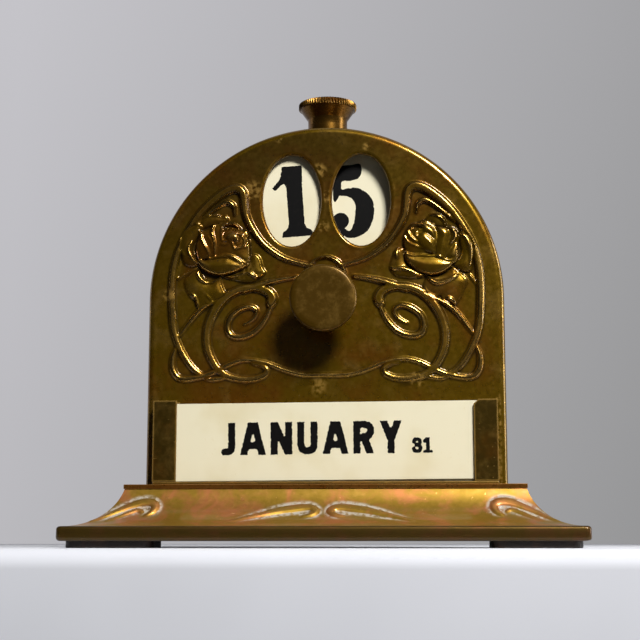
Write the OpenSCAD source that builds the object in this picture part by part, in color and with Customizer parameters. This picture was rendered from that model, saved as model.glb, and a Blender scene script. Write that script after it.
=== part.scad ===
// Perpetual desk calendar: an arched brass case on a hollow-curved base. Two numbered
// discs show the day through two oval windows, and month cards stand in channels below.
// The front face looks towards -Y, +Z is up, and the origin is under the middle of the base.

/* [Base] */
// Width of the base slab
base_w = 136; // [128:1:150]
// Depth of the base slab
base_d = 64; // [60:1:76]
// Thickness of the base slab
slab_h = 3.8; // [3.2:0.1:5]
// Radius along the slab's edges
slab_edge = 0.5; // [0.3:0.1:1.4]
// Height of the hollow curve above the slab
cove_h = 9.9; // [8:0.1:12]
// How far the hollow curve runs in from its foot to its head
cove_run = 13.3; // [11:0.5:14]
// Radius of the hollow curve
cove_r = 14.1; // [13:0.1:20]
// Flat margin between the slab's edge and the foot of the curve
cove_margin = 1.5; // [1:0.1:2.5]
// Wall of the pressed base shell
base_wall = 1; // [0.7:0.1:1.4]
// Thickness of the plate on top of the base
plate_t = 1.2; // [0.8:0.1:2]
// Overhang of the top plate past the head of the curve
plate_lip = 0.3; // [0:0.1:1]
// Thickness of the sheet that closes the base from below
bottom_t = 1; // [0.6:0.1:1.5]
// Distance that the bottom plate lies inside the slab's underside
bottom_sink = 1.3; // [1:0.1:1.6]

/* [Foot pads] */
// Width of a front foot pad
pad_w = 23; // [15:1:28]
// Width of a rear foot pad
rear_pad_w = 15; // [12:1:28]
// Depth of a foot pad
pad_d = 16; // [10:1:22]
// Height of the slab's underside over what the pads stand on
pad_h = 1.8; // [1:0.1:3]
// Corner radius of a foot pad
pad_corner = 3; // [1:0.5:5]
// Distance from the slab's edge to a foot pad
pad_inset = 1.8; // [1.2:0.1:6]

/* [Base screws] */
// Distance between the two base screws
screw_span = 60; // [40:1:70]
// Shank diameter of a base screw
screw_d = 3; // [2.5:0.1:4]
// Head diameter of a base screw
screw_head_d = 5.6; // [5:0.1:7]
// Head height of a base screw
screw_head_h = 1.2; // [1:0.1:1.5]
// How far a base screw stands up past the case floor
screw_proud = 1.5; // [0.5:0.1:3]
// Outer diameter of the spacer tubes inside the base
spacer_d = 7; // [5.5:0.5:10]

/* [Case] */
// Width of the case, twice the radius of its arch
case_w = 98; // [94:1:104]
// Height of the case above the base
case_h = 100; // [97:0.5:110]
// Depth of the case from front face to back face
case_d = 26; // [25:0.5:34]
// Thickness of the front face
face_t = 1; // [0.8:0.1:1.4]
// Radius of the rounded front edge
edge_r = 1.8; // [1:0.1:2.5]
// Depth of the turned-back rim of the front plate
skirt_d = 4.5; // [3.8:0.1:6]
// Wall of the rim and of the side band
case_wall = 0.9; // [0.7:0.1:1.2]
// Thickness of the strip that joins front plate and band inside
strip_t = 0.6; // [0.4:0.1:0.8]
// Lap of the joint strip behind each of the two pieces
strip_lap = 2.8; // [2:0.1:3.2]
// Thickness of the case floor
floor_t = 1.2; // [0.9:0.1:1.6]
// Thickness of the back cover
cover_t = 1; // [0.8:0.1:1.5]

/* [Back cover fixing] */
// Width of a cover lug
lug_w = 7; // [5.5:0.5:10]
// Distance a cover lug stands in from the band
lug_reach = 6; // [5.5:0.5:8]
// Thickness of a cover lug
lug_t = 5; // [4:0.5:6]
// Angle of the upper cover lugs from the horizontal
lug_angle = 50; // [40:1:60]
// Height of the lower cover lugs above the case floor
lug_rise = 8; // [6:0.5:14]
// Shank diameter of a cover screw
cover_screw_d = 2; // [1.6:0.1:2.4]
// Head diameter of a cover screw
cover_head_d = 4; // [3.5:0.1:4.6]
// Head height of a cover screw
cover_head_h = 1.1; // [0.8:0.1:1.6]

/* [Pressed ornament] */
// Height of the raised ornament under the knob, which the lifted cards clear
relief_low = 0.7; // [0.3:0.05:0.8]
// Height of the raised stems beside and above the knob
relief_high = 1.1; // [0.5:0.05:1.4]
// Height of the roses' buds
rose_rise = 1.5; // [0.8:0.1:2]
// Width of the raised stems
stem_w = 2; // [1:0.1:2.6]
// Room between the ornament and the knob's neck
ornament_room = 0.6; // [0.3:0.1:1.5]

/* [Windows] */
// Distance from the arbor to the lower edge of the oval windows
window_low = 18.2; // [16:0.1:22]
// Distance from the windows' upper edge to the rim of the discs
window_margin = 2.3; // [1:0.1:3]
// Distance that both windows stand to the right of the middle
window_shift = 0.35; // [0:0.05:0.5]
// Space between the two windows
window_gap = 3; // [1.5:0.1:4]
// Number of straight sides that draw an oval
window_sides = 72; // [36:12:96]

/* [Discs] */
// Digits on the units disc
units_count = 10; // [10]
// Digits on the tens disc
tens_count = 4; // [4]
// Clearance between the discs and the walls round them
disc_room = 1; // [0.5:0.1:2]
// Thickness of a disc
disc_t = 0.6; // [0.4:0.1:1]
// Space between the front plate and the tens disc
disc_gap = 1.4; // [1.2:0.1:2]
// Space between the two discs
disc_space = 1.3; // [1.2:0.1:2]
// Width of the tens disc's outer ring
ring_w = 1.2; // [0.8:0.1:1.5]
// Angle by which a cut-out is wider than a window at each side
cut_margin = 1.5; // [1:0.1:2]
// Distance from a window's lower edge to the cut-out's inner edge
cut_drop = 1.6; // [1:0.1:3]
// Drop of the arbor below the centre of the arch
arbor_drop = 1.8; // [1:0.1:4]

/* [Arbor and hubs] */
// Diameter of the arbor
arbor_d = 4; // [3:0.1:5]
// Running clearance on the radius of every turning shaft
run_fit = 0.05; // [0.02:0.01:0.09]
// Clearance on the radius of every fixed pin or screw
fixed_fit = 0.02; // [0.01:0.01:0.08]
// Diameter of the hub spigots that pass through the discs
spigot_d = 8; // [7:0.5:10]
// How far a spigot stands out in front of its disc
spigot_proud = 0.4; // [0.2:0.1:0.4]
// Diameter of the hub flanges
flange_d = 18; // [16:0.5:22]
// Thickness of the hub flanges
flange_t = 0.8; // [0.6:0.1:0.8]
// Diameter of the rivets that hold a disc to its hub
rivet_d = 1.4; // [1:0.1:2]
// Radius of the circle that those rivets stand on
rivet_circle_r = 6.6; // [6:0.1:7]
// Head diameter of those rivets
rivet_head_d = 2.2; // [1.6:0.1:3]
// Height of a rivet's flat head
rivet_head_h = 0.15; // [0.1:0.05:0.2]
// Outer diameter of the arbor collar
collar_d = 8; // [7:0.5:10]
// Length of the arbor collar
collar_l = 3.5; // [3:0.1:5]
// End float between neighbours on the arbor
end_float = 0.2; // [0.1:0.05:0.3]
// Thickness of a retaining clip
clip_t = 0.8; // [0.6:0.1:1.2]
// Width of a retaining clip's ring
clip_w = 1.6; // [1.2:0.1:2]
// How far the arbor reaches past its clip
arbor_tail = 0.6; // [0.3:0.1:1]

/* [Front bush] */
// Outer diameter of the front bush
front_bush_d = 7; // [6:0.1:9]
// Diameter of the front bush's flange
front_bush_flange_d = 11; // [10:0.5:14]
// Thickness of the front bush's flange
front_bush_flange_t = 0.6; // [0.4:0.1:0.6]
// Thickness of the friction washer behind the front bush
washer_t = 0.3; // [0.2:0.05:0.3]
// Diameter of the friction washer
washer_d = 9; // [7:0.5:10]

/* [Crown wheel and pinion] */
// Module of the two gears
gear_m = 0.8; // [0.7:0.05:0.9]
// Number of teeth on the crown wheel
crown_teeth = 40; // [32:4:48]
// Number of teeth on the pinion
pinion_teeth = 10; // [10]
// Length of the crown teeth along the radius
crown_face = 2.4; // [1.6:0.1:3]
// Height of a gear tooth above the pitch line, in modules
tooth_top = 0.75; // [0.6:0.05:0.8]
// Depth of a gear tooth below the pitch line, in modules
tooth_root = 1; // [0.95:0.05:1.2]
// Play between the teeth along the pitch line
tooth_play = 0.45; // [0.3:0.05:0.6]
// Pressure angle of the teeth
tooth_angle = 25; // [20:1:28]
// Thickness of the crown wheel's web
crown_web_t = 1.2; // [0.8:0.1:1.5]
// Length of the pinion past the crown teeth at each end
pinion_over = 0.5; // [0.2:0.1:1]

/* [Bracket] */
// Width of the bracket strip
bracket_w = 14; // [12:0.5:18]
// Thickness of the bracket strip
bracket_t = 1.5; // [1.2:0.1:2]
// Length of the bracket's foot
bracket_foot = 9; // [8:0.5:11]
// Height of the bracket's ear above the arbor
ear_rise = 9.4; // [8.5:0.1:10.5]
// Ear left in front of the top shaft's hole
ear_over = 3; // [2.5:0.1:4]
// Space between the ear and the pinion
ear_gap = 0.3; // [0.2:0.1:0.6]
// Space between the bracket's upright and the pinion
pinion_room = 1.3; // [0.8:0.1:2]
// Diameter of the bracket screws
bracket_screw_d = 2; // [1.6:0.1:2.5]
// Distance between the two bracket screws
bracket_screw_span = 7; // [6:0.5:7.5]
// Head diameter of a bracket screw
bracket_head_d = 4; // [3.5:0.1:4.5]
// Head height of a bracket screw
bracket_head_h = 1.2; // [0.8:0.1:1.6]

/* [Knobs] */
// Rim diameter of the top knob
top_knob_d = 16.7; // [14:0.1:20]
// Neck diameter of the top knob
top_neck_d = 11.3; // [10:0.1:12.5]
// Length of the top knob's neck
top_neck_l = 4.5; // [4:0.1:9]
// Length of the cone under the top knob's rim
top_cone_l = 2.9; // [2:0.1:4]
// Thickness of the top knob's rim
top_rim_t = 1.9; // [1.5:0.1:3]
// Rim diameter of the front knob
front_knob_d = 18; // [15:0.1:20]
// Neck diameter of the front knob
front_neck_d = 11; // [10:0.1:12.5]
// Length of the front knob's neck
front_neck_l = 6.4; // [6:0.1:9]
// Length of the cone under the front knob's rim
front_cone_l = 3.2; // [2:0.1:4]
// Thickness of the front knob's rim
front_rim_t = 2.2; // [1.5:0.1:3]
// Number of teeth knurled round the top knob
knurl_count = 58; // [40:2:70]
// Depth of the knurling
knurl_depth = 0.3; // [0.15:0.05:0.4]
// Step from the cone out to the rim, below the knurling
rim_step = 0.2; // [0.1:0.05:0.4]
// Chamfer round a smooth knob's face
knob_chamfer = 0.6; // [0.2:0.1:1]
// Gap between a knob and what is behind it
knob_gap = 0.3; // [0.2:0.1:0.6]
// Solid end of a knob in front of its shaft
knob_cap = 2.2; // [1.5:0.1:3]

/* [Top shaft] */
// Diameter of the top shaft
top_shaft_d = 3; // [2.5:0.1:3.4]
// Outer diameter of the top bush
top_bush_d = 6; // [5:0.1:7]
// Flange diameter of the top bush
top_flange_d = 11.4; // [9:0.1:14]
// Height of the top bush's flange above the arch
top_flange_h = 0.8; // [0.5:0.1:1.5]
// Size of the bush's nut across its corners
bush_nut_d = 9.6; // [8:0.1:12]
// Thickness of the bush's nut
bush_nut_t = 2; // [1.5:0.1:3]
// How far the bush reaches below its nut
bush_tail = 0.6; // [0.3:0.1:1.5]
// Diameter of the collar that keeps the top shaft down
keeper_d = 7; // [6:0.1:8]
// Length of that collar
keeper_l = 3; // [2.5:0.1:4]
// How far the top shaft reaches below the bracket's ear
shaft_tail = 1; // [0.5:0.1:2]

/* [Cards] */
// Number of month cards in the channels
card_count = 6; // [6]
// Thickness of a month card
card_t = 0.5; // [0.4:0.05:0.7]
// Gap between neighbouring cards
card_gap = 0.1; // [0.1:0.05:0.2]
// Height of a month card
card_h = 20.8; // [18:0.1:23]
// Play of a card at each end
card_play = 0.35; // [0.3:0.05:0.6]
// Angle by which the front card has settled
card_lean = 0.4; // [0:0.1:0.4]

/* [Card channels] */
// Thickness of the channel sheet
channel_t = 0.8; // [0.6:0.1:1]
// Width of a channel
channel_w = 6.4; // [5:0.1:8]
// Distance from a side of the case to the channel beside it
channel_inset = 2.8; // [2.5:0.1:5]
// Height of a channel above the sill
channel_h = 21.7; // [19:0.1:24]
// Corner cut from the right channel's front
channel_cut = 1.3; // [0.3:0.1:2]
// Thickness of the sill that the cards stand on
sill_t = 0.8; // [0.5:0.1:1.2]
// Top plate left free in front of the sill
ledge = 1.6; // [1:0.1:3]
// Diameter of the channel rivets
channel_rivet_d = 1.6; // [1.2:0.1:2]
// Head diameter of the channel rivets inside the case
channel_rivet_head_d = 2.7; // [2.2:0.1:3.4]
// Distance between the two rivets of a channel
channel_rivet_span = 12; // [8:0.5:14]
// Height of the lower channel rivet above the sill
channel_rivet_rise = 5; // [4:0.5:6]

/* [Hidden] */
// Lines of the ornament on the right half of the front. Each point is its distance
// from the middle and its height over the arbor, both in hundredths: the first of
// the arch's radius, the second of that radius above the arbor and of the
// distance down to the case's lower edge below it.
border_upper = [[8, 23], [22, 25.5], [34, 33.5], [43, 45], [46, 59], [50, 68], [56, 66], [70, 55],
    [80.5, 39], [86, 20], [86.5, 4]];
border_lower = [[86.5, 6], [86, -10], [83, -21], [75, -34], [65, -40]];
knob_stem = [[15, 16], [27, 14.5], [38, 11], [46, 8]];
branch = [[57, 5], [66, 1], [74, -7], [82, -17]];
big_scroll = [[29, 3], [34, 9], [44, 10], [55, 5.5], [64, -6], [66.5, -18], [61, -34], [50, -41],
    [38, -41.5], [33, -36]];
inner_spiral = [[31, -2], [37, -13], [47, -18], [54, -13], [49, -2.5], [41, -2]];
bottom_line = [[-33, -33], [-18, -38.5], [0, -40], [18, -38.5], [33, -33], [47, -31], [60, -36]];
rose_outline = [[38, 29], [44, 18.5], [56, 14], [70, 17], [80, 16.5], [84.5, 26], [80, 40], [73, 41],
    [63, 51], [50, 47], [43, 38]];
rose_bud = [[45, 26], [52, 18], [65, 18], [74, 27], [73, 40], [60, 47], [49, 46], [44, 37]];
sepal = [[58, 18], [55, 8], [63, 3], [71, 1], [79, 11], [74, 20]];
rose_heart = [51, 40];
rose_heart_r = 6.6;
ring_rise = 16;
ring_r = 11.2;

BRASS = "#8f6f2e";
PALE_BRASS = "#b3924a";
STEEL = "#8b9096";
CELLULOID = "#ece3c6";
LEATHER = "#3a2316";

$fn = 96;
far = 400; // longer than any piece
over = 1; // how far a cutter reaches past what it cuts
sink = 0.2; // how far two shapes of one piece run into each other

// Heights
slab_top = pad_h + slab_h;
bottom_z = pad_h + bottom_sink;
head_z = slab_top + cove_h;
case_z = head_z + plate_t;
floor_top = case_z + floor_t;
arch_r = case_w / 2;
arch_z = case_z + case_h - arch_r;
case_top = arch_z + arch_r;
arbor_z = arch_z - arbor_drop;

// The base in plan
cove_foot_w = base_w / 2 - cove_margin;
cove_foot_d = base_d / 2 - cove_margin;
plate_half_w = cove_foot_w - cove_run + plate_lip;
plate_half_d = cove_foot_d - cove_run + plate_lip;

// The case and the channels along Y
stack_d = card_count * (card_t + card_gap) + card_gap;
channel_d = stack_d + 2 * channel_t;
channel_y = -plate_half_d + ledge;
face_y = channel_y + channel_d;
face_back = face_y + face_t;
band_y = face_y + skirt_d;
case_back = face_y + case_d;
cover_y = case_back - cover_t;
inner_r = arch_r - case_wall;
strip_r = inner_r - strip_t;

// The discs
disc_r = min(strip_r, arbor_z - floor_top) - disc_room;
sector = 360 / units_count;
window_h = disc_r - window_margin - window_low;
window_r = window_low + window_h / 2;
window_x = window_r * sin(sector / 2);
window_w = 2 * window_x - window_gap;
window_z = arbor_z + window_r * cos(sector / 2);
cut_in = window_low - cut_drop;
cut_out = disc_r - ring_w;
window_angles = [for (i = [0 : window_sides - 1]) let (a = 360 * i / window_sides)
    atan2(window_x + window_shift + window_w / 2 * cos(a), window_z - arbor_z + window_h / 2 * sin(a))];
cut_start = min(window_angles) - cut_margin;
cut_angle = max(window_angles) + cut_margin - cut_start;
tens_y = face_back + disc_gap;
tens_back = tens_y + disc_t;
units_y = tens_back + disc_space;
units_back = units_y + disc_t;
tens_hub_back = tens_back + flange_t;
units_hub_front = tens_hub_back + end_float;

// The gears: the crown teeth face the back, and the pinion stands over the arbor
crown_r = gear_m * crown_teeth / 2;
pinion_r = gear_m * pinion_teeth / 2;
tooth_a = gear_m * tooth_top;
tooth_d = gear_m * tooth_root;
top_y = (face_y + case_back) / 2;
mesh_y = top_y - pinion_r;
crown_web_back = mesh_y - tooth_d;
units_hub_back = crown_web_back + end_float;
collar_y = units_hub_back + end_float;
mesh_z = arbor_z + crown_r;
pinion_h = crown_face + 2 * pinion_over;
pinion_z = mesh_z - pinion_h / 2;

// The bracket: foot, upright and ear of one bent strip
bracket_back = top_y + pinion_r + tooth_a + pinion_room + bracket_t;
bracket_y = bracket_back - bracket_t;
ear_z = min(arbor_z + ear_rise, pinion_z - ear_gap - bracket_t);
ear_y = top_y - ear_over;
arbor_end = bracket_back + end_float + clip_t + arbor_tail;

// The knobs
front_knob_back = face_y - knob_gap;
front_knob_l = front_neck_l + front_cone_l + front_rim_t;
front_knob_face = front_knob_back - front_knob_l;
arbor_front = front_knob_face + knob_cap;
top_flange_z = case_top + top_flange_h;
top_knob_z = top_flange_z + knob_gap;
top_knob_l = top_neck_l + top_cone_l + top_rim_t;
band_sag = inner_r - sqrt(pow(inner_r, 2) - pow(bush_nut_d / 2, 2));
nut_top = case_top - case_wall - band_sag;
bush_bottom = nut_top - bush_nut_t - bush_tail;

// The cards
sill_z = case_z + sill_t;
channel_span = case_w - 2 * channel_inset;
channel_inner = channel_span / 2 - channel_t;
card_w = 2 * (channel_inner - card_play);

// A rod along Y from y0 to y1
module rod_y(d, y0, y1) {
    translate([0, y0, 0]) rotate([-90, 0, 0]) cylinder(d = d, h = y1 - y0);
}

// A rod along Z from z0 to z1
module rod_z(d, z0, z1) {
    translate([0, 0, z0]) cylinder(d = d, h = z1 - z0);
}

// The hole for a rod along Y or Z, with its clearance on the radius
module bore_y(d, fit, y0, y1) {
    rod_y(d + 2 * fit, y0 - over, y1 + over);
}

module bore_z(d, fit, z0, z1) {
    rod_z(d + 2 * fit, z0 - over, z1 + over);
}

// A tube along Y from y0 to y1 that sits on a rod
module tube_y(d, rod, fit, y0, y1) {
    difference() {
        rod_y(d, y0, y1);
        bore_y(rod, fit, y0, y1);
    }
}

// A tube along Z that sits on a rod
module tube_z(d, rod, fit, z0, z1) {
    difference() {
        rod_z(d, z0, z1);
        bore_z(rod, fit, z0, z1);
    }
}

// Places its children at the two base screws
module at_base_screws() {
    for (side = [-1, 1]) translate([side * screw_span / 2, top_y, 0]) children();
}

// The outline of the slab's section, with rounded edges
module slab_section(half, inset) {
    r = slab_edge;
    w = half - inset;
    z0 = inset > 0 ? 0 : pad_h;
    z1 = slab_top - inset;
    translate([-w + r, z0]) square([2 * (w - r), z1 - z0]);
    translate([-w, z0 + r]) square([2 * w, z1 - z0 - 2 * r]);
    for (x = [-w + r, w - r]) {
        for (z = [z0 + r, z1 - r]) translate([x, z]) circle(r = r, $fn = 48);
    }
}

// The block above the slab with a hollow curve down each side. The curve's centre
// stands off the middle of the chord from its foot to its head.
module cove_section(foot, inset) {
    chord = sqrt(pow(cove_run, 2) + pow(cove_h, 2));
    off = sqrt(pow(cove_r, 2) - pow(chord / 2, 2));
    cx = foot - cove_run / 2 + off * cove_h / chord;
    cz = slab_top + cove_h / 2 + off * cove_run / chord;
    difference() {
        translate([-foot, slab_top - inset - sink]) square([2 * foot, cove_h + sink]);
        for (side = [-1, 1]) translate([side * cx, cz]) circle(r = cove_r + inset, $fn = 128);
    }
}

module base_section(half, inset) {
    slab_section(half, inset);
    cove_section(half - cove_margin, inset);
}

// The base block, mitred where its sides meet; inset gives the hollow inside it
module base_block(inset) {
    intersection() {
        rotate([90, 0, 0]) linear_extrude(far, center = true) base_section(base_w / 2, inset);
        rotate([90, 0, 90]) linear_extrude(far, center = true) base_section(base_d / 2, inset);
    }
}

module base_shell() {
    color(BRASS) difference() {
        base_block(0);
        base_block(base_wall);
        at_base_screws() bore_z(screw_d, fixed_fit, head_z - base_wall, head_z);
    }
}

module base_top_plate() {
    color(BRASS) difference() {
        translate([-plate_half_w, -plate_half_d, head_z])
            cube([2 * plate_half_w, 2 * plate_half_d, plate_t]);
        at_base_screws() bore_z(screw_d, fixed_fit, head_z, case_z);
    }
}

module base_bottom_plate() {
    w = base_w - 2 * base_wall;
    d = base_d - 2 * base_wall;
    color(STEEL) difference() {
        translate([-w / 2, -d / 2, bottom_z]) cube([w, d, bottom_t]);
        at_base_screws() bore_z(screw_d, fixed_fit, bottom_z, bottom_z + bottom_t);
    }
}

module base_spacers() {
    color(STEEL) at_base_screws()
        tube_z(spacer_d, screw_d, fixed_fit, bottom_z + bottom_t, head_z - base_wall);
}

module base_screws() {
    color(STEEL) at_base_screws() {
        rod_z(screw_head_d, bottom_z - screw_head_h, bottom_z);
        rod_z(screw_d, bottom_z - screw_head_h / 2, floor_top + screw_proud);
    }
}

// A pad with rounded corners under one corner of the base, against its bottom plate
module foot_pad(side_x, side_y) {
    pad = side_y < 0 ? pad_w : rear_pad_w;
    cx = side_x * (base_w / 2 - pad_inset - pad / 2);
    cy = side_y * (base_d / 2 - pad_inset - pad_d / 2);
    w = pad / 2 - pad_corner;
    d = pad_d / 2 - pad_corner;
    color(LEATHER) translate([cx, cy, 0]) {
        for (x = [-w, w]) {
            for (y = [-d, d]) translate([x, y, 0]) cylinder(r = pad_corner, h = bottom_z, $fn = 48);
        }
        translate([-pad / 2, -d, 0]) cube([pad, 2 * d, bottom_z]);
        translate([-w, -pad_d / 2, 0]) cube([2 * w, pad_d, bottom_z]);
    }
}

module foot_pad_front_left() { foot_pad(-1, -1); }
module foot_pad_front_right() { foot_pad(1, -1); }
module foot_pad_rear_left() { foot_pad(-1, 1); }
module foot_pad_rear_right() { foot_pad(1, 1); }

// The outline of the case: straight sides up to a half-round arch
module arch_outline(r, z0) {
    translate([0, arch_z]) circle(r = r, $fn = 192);
    translate([-r, z0]) square([2 * r, arch_z - z0]);
}

// A flat arched plate between y0 and y1
module arch_plate(r, z0, y0, y1) {
    translate([0, y1, 0]) rotate([90, 0, 0]) linear_extrude(y1 - y0) {
        intersection() {
            arch_outline(r, z0);
            translate([-far / 2, z0]) square([far, far]);
        }
    }
}

// Carries a profile round the arch: x is the distance from the middle of the arch,
// y the distance behind the front face, and the straight sides reach down to z0
module arch_sweep(z0) {
    translate([0, face_y, arch_z]) {
        rotate([-90, 0, 0]) rotate([0, 0, 180]) rotate_extrude(angle = 180, $fn = 192) children();
    }
    for (side = [0, 1]) mirror([side, 0, 0]) {
        translate([0, face_y, z0]) linear_extrude(arch_z - z0) children();
    }
}

module window_oval() {
    polygon([for (i = [0 : window_sides - 1])
        [window_w / 2 * cos(360 * i / window_sides), window_h / 2 * sin(360 * i / window_sides)]]);
}

// Places its children at the rivets of the two channels, on the front face
module at_channel_rivets() {
    for (side = [-1, 1]) for (step = [0, 1]) {
        translate([
            side * (channel_span / 2 - channel_w / 2),
            0,
            sill_z + channel_rivet_rise + step * channel_rivet_span
        ]) children();
    }
}

// A place on the front from a point of the ornament's lines
function on_front(p) = [p[0] / 100 * arch_r,
    arbor_z + p[1] / 100 * (p[1] < 0 ? arbor_z - case_z : arch_r)];

// One side of a stem of width w along the places q; side is 1 or -1
function stem_side(q, w, side) = [for (i = [0 : len(q) - 1])
    let (d = q[min(i + 1, len(q) - 1)] - q[max(i - 1, 0)])
    q[i] + side * w / 2 * [-d[1], d[0]] / norm(d)];

// Raises a flat shape on the front by h
module raise(h) {
    translate([0, face_y + sink, 0]) rotate([90, 0, 0]) linear_extrude(h + sink) children();
}

module stem(line, h) {
    q = [for (p = line) on_front(p)];
    left = stem_side(q, stem_w, 1);
    right = stem_side(q, stem_w, -1);
    raise(h) polygon(concat(left, [for (i = [len(right) - 1 : -1 : 0]) right[i]]));
}

module leaf(outline, h) {
    raise(h) polygon([for (p = outline) on_front(p)]);
}

// The right half's ornament: stems, scrolls and the rose
module half_ornament() {
    stem(border_upper, relief_high);
    stem(border_lower, relief_low);
    stem(knob_stem, relief_high);
    stem(branch, relief_low);
    stem(big_scroll, relief_low);
    stem(inner_spiral, relief_low);
    leaf(sepal, relief_high / 2);
    leaf(rose_outline, rose_rise / 2);
    leaf(rose_bud, rose_rise * 0.75);
    translate([rose_heart[0] / 100 * arch_r, 0, arbor_z + rose_heart[1] / 100 * arch_r])
        rod_y(2 * rose_heart_r / 100 * arch_r, face_y - rose_rise, face_y + sink);
}

// The pressed ornament, clear of the knob's neck
module front_ornament() {
    ring = ring_r / 100 * arch_r;
    difference() {
        union() {
            half_ornament();
            mirror([1, 0, 0]) half_ornament();
            stem(bottom_line, relief_low);
            translate([0, 0, arbor_z + ring_rise / 100 * arch_r]) difference() {
                rod_y(2 * ring + stem_w / 2, face_y - relief_high, face_y + sink);
                rod_y(2 * ring - stem_w / 2, face_y - relief_high - over, face_y + sink + over);
            }
        }
        translate([0, 0, arbor_z])
            rod_y(front_neck_d + 2 * ornament_room, face_y - rose_rise - over, face_y + sink + over);
    }
}

module front_plate() {
    color(BRASS) difference() {
        union() {
            front_ornament();
            arch_plate(arch_r - edge_r, case_z, face_y, face_back);
            arch_sweep(case_z) difference() {
                union() {
                    translate([arch_r - edge_r - sink, 0]) square([edge_r + sink, face_t]);
                    translate([arch_r - edge_r, 0]) square([edge_r, skirt_d]);
                }
                // the rounded edge
                translate([arch_r - edge_r, 0]) difference() {
                    square([edge_r, edge_r]);
                    translate([0, edge_r]) circle(r = edge_r, $fn = 64);
                }
                // the space behind the face
                translate([arch_r - edge_r - over, face_t])
                    square([edge_r + over - case_wall, skirt_d]);
            }
        }
        for (side = [-1, 1]) {
            translate([side * window_x + window_shift, face_back + over, window_z]) rotate([90, 0, 0])
                linear_extrude(face_t + rose_rise + 2 * over) window_oval();
        }
        translate([0, 0, arbor_z]) bore_y(front_bush_d, 0, face_y, face_back);
        at_channel_rivets() bore_y(channel_rivet_d, fixed_fit, face_y, face_back);
    }
}

module case_band() {
    color(BRASS) difference() {
        arch_sweep(case_z) {
            translate([inner_r, skirt_d]) square([case_wall, cover_y - band_y]);
        }
        translate([0, top_y, 0]) bore_z(top_bush_d, fixed_fit, case_top - 2 * bush_nut_t, case_top);
    }
}

module joint_strip() {
    color(PALE_BRASS) arch_sweep(floor_top) {
        translate([strip_r, skirt_d - strip_lap]) square([strip_t, 2 * strip_lap]);
    }
}

module case_floor() {
    color(PALE_BRASS) difference() {
        translate([-inner_r, face_back, case_z])
            cube([2 * inner_r, cover_y - face_back, floor_t]);
        at_base_screws() bore_z(screw_d, fixed_fit, case_z, floor_top);
        at_bracket_screws() bore_z(bracket_screw_d, fixed_fit, case_z, floor_top);
    }
}

// Places its children on the axes of the four cover screws
module at_cover_screws() {
    r = inner_r - lug_reach / 2;
    for (side = [-1, 1]) {
        translate([side * r * cos(lug_angle), 0, arch_z + r * sin(lug_angle)]) children();
        translate([side * r, 0, floor_top + lug_rise]) children();
    }
}

module cover_lugs() {
    r0 = inner_r - lug_reach;
    y0 = cover_y - lug_t;
    color(PALE_BRASS) difference() {
        union() {
            for (turn = [lug_angle, 180 - lug_angle]) {
                translate([0, y0, arch_z]) intersection() {
                    rotate([0, -turn, 0]) translate([r0, 0, -lug_w / 2])
                        cube([2 * lug_reach, lug_t, lug_w]);
                    rod_y(2 * inner_r, -over, lug_t + over, $fn = 192);
                }
            }
            for (side = [0, 1]) mirror([side, 0, 0]) {
                translate([r0, y0, floor_top + lug_rise - lug_w / 2])
                    cube([lug_reach, lug_t, lug_w]);
            }
        }
        at_cover_screws() bore_y(cover_screw_d, fixed_fit, y0, cover_y);
    }
}

module back_cover() {
    color(BRASS) difference() {
        arch_plate(arch_r, case_z, cover_y, case_back);
        at_cover_screws() bore_y(cover_screw_d, fixed_fit, cover_y, case_back);
    }
}

module cover_screws() {
    color(PALE_BRASS) at_cover_screws() {
        rod_y(cover_screw_d, cover_y - lug_t, case_back + cover_head_h / 2);
        rod_y(cover_head_d, case_back, case_back + cover_head_h);
    }
}

module card_sill() {
    color(BRASS) translate([-channel_span / 2, channel_y, case_z])
        cube([channel_span, channel_d, sill_t]);
}

// A channel open towards the middle; cut is the corner taken off its front flange
module card_channel(cut) {
    x0 = channel_span / 2 - channel_w;
    top = sill_z + channel_h;
    difference() {
        translate([x0, channel_y, sill_z]) cube([channel_w, channel_d, channel_h]);
        translate([x0 - over, channel_y + channel_t, sill_z - over])
            cube([channel_w + over - channel_t, stack_d, channel_h + 2 * over]);
        if (cut > 0) translate([x0, channel_y + channel_d / 2, top]) rotate([90, 0, 0])
            linear_extrude(channel_d) polygon([[-over, -cut - over], [cut + over, over], [-over, over]]);
    }
}

module left_card_channel() {
    color(BRASS) difference() {
        mirror([1, 0, 0]) card_channel(0);
        at_channel_rivets() bore_y(channel_rivet_d, fixed_fit, face_y - channel_t, face_y);
    }
}

module right_card_channel() {
    color(BRASS) difference() {
        card_channel(channel_cut);
        at_channel_rivets() bore_y(channel_rivet_d, fixed_fit, face_y - channel_t, face_y);
    }
}

module channel_rivets() {
    color(PALE_BRASS) at_channel_rivets() {
        rod_y(channel_rivet_d, face_y - channel_t, face_back + rivet_head_h);
        rod_y(channel_rivet_head_d, face_back, face_back + 2 * rivet_head_h);
    }
}

// Card number i, counted from the front; the front one has settled at a slight angle
module month_card(i) {
    lean = i == 1 ? card_lean : 0;
    y0 = channel_y + channel_t + card_gap + (i - 1) * (card_t + card_gap);
    color(CELLULOID) translate([-card_w / 2, y0, sill_z]) rotate([0, -lean, 0])
        cube([card_w, card_t, card_h]);
}

module month_card_1() { month_card(1); }
module month_card_2() { month_card(2); }
module month_card_3() { month_card(3); }
module month_card_4() { month_card(4); }
module month_card_5() { month_card(5); }
module month_card_6() { month_card(6); }

module front_bush() {
    color(PALE_BRASS) translate([0, 0, arbor_z]) difference() {
        union() {
            rod_y(front_bush_d, face_y, face_back);
            rod_y(front_bush_flange_d, face_back, face_back + front_bush_flange_t);
        }
        bore_y(arbor_d, run_fit, face_y, face_back + front_bush_flange_t);
    }
}

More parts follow.
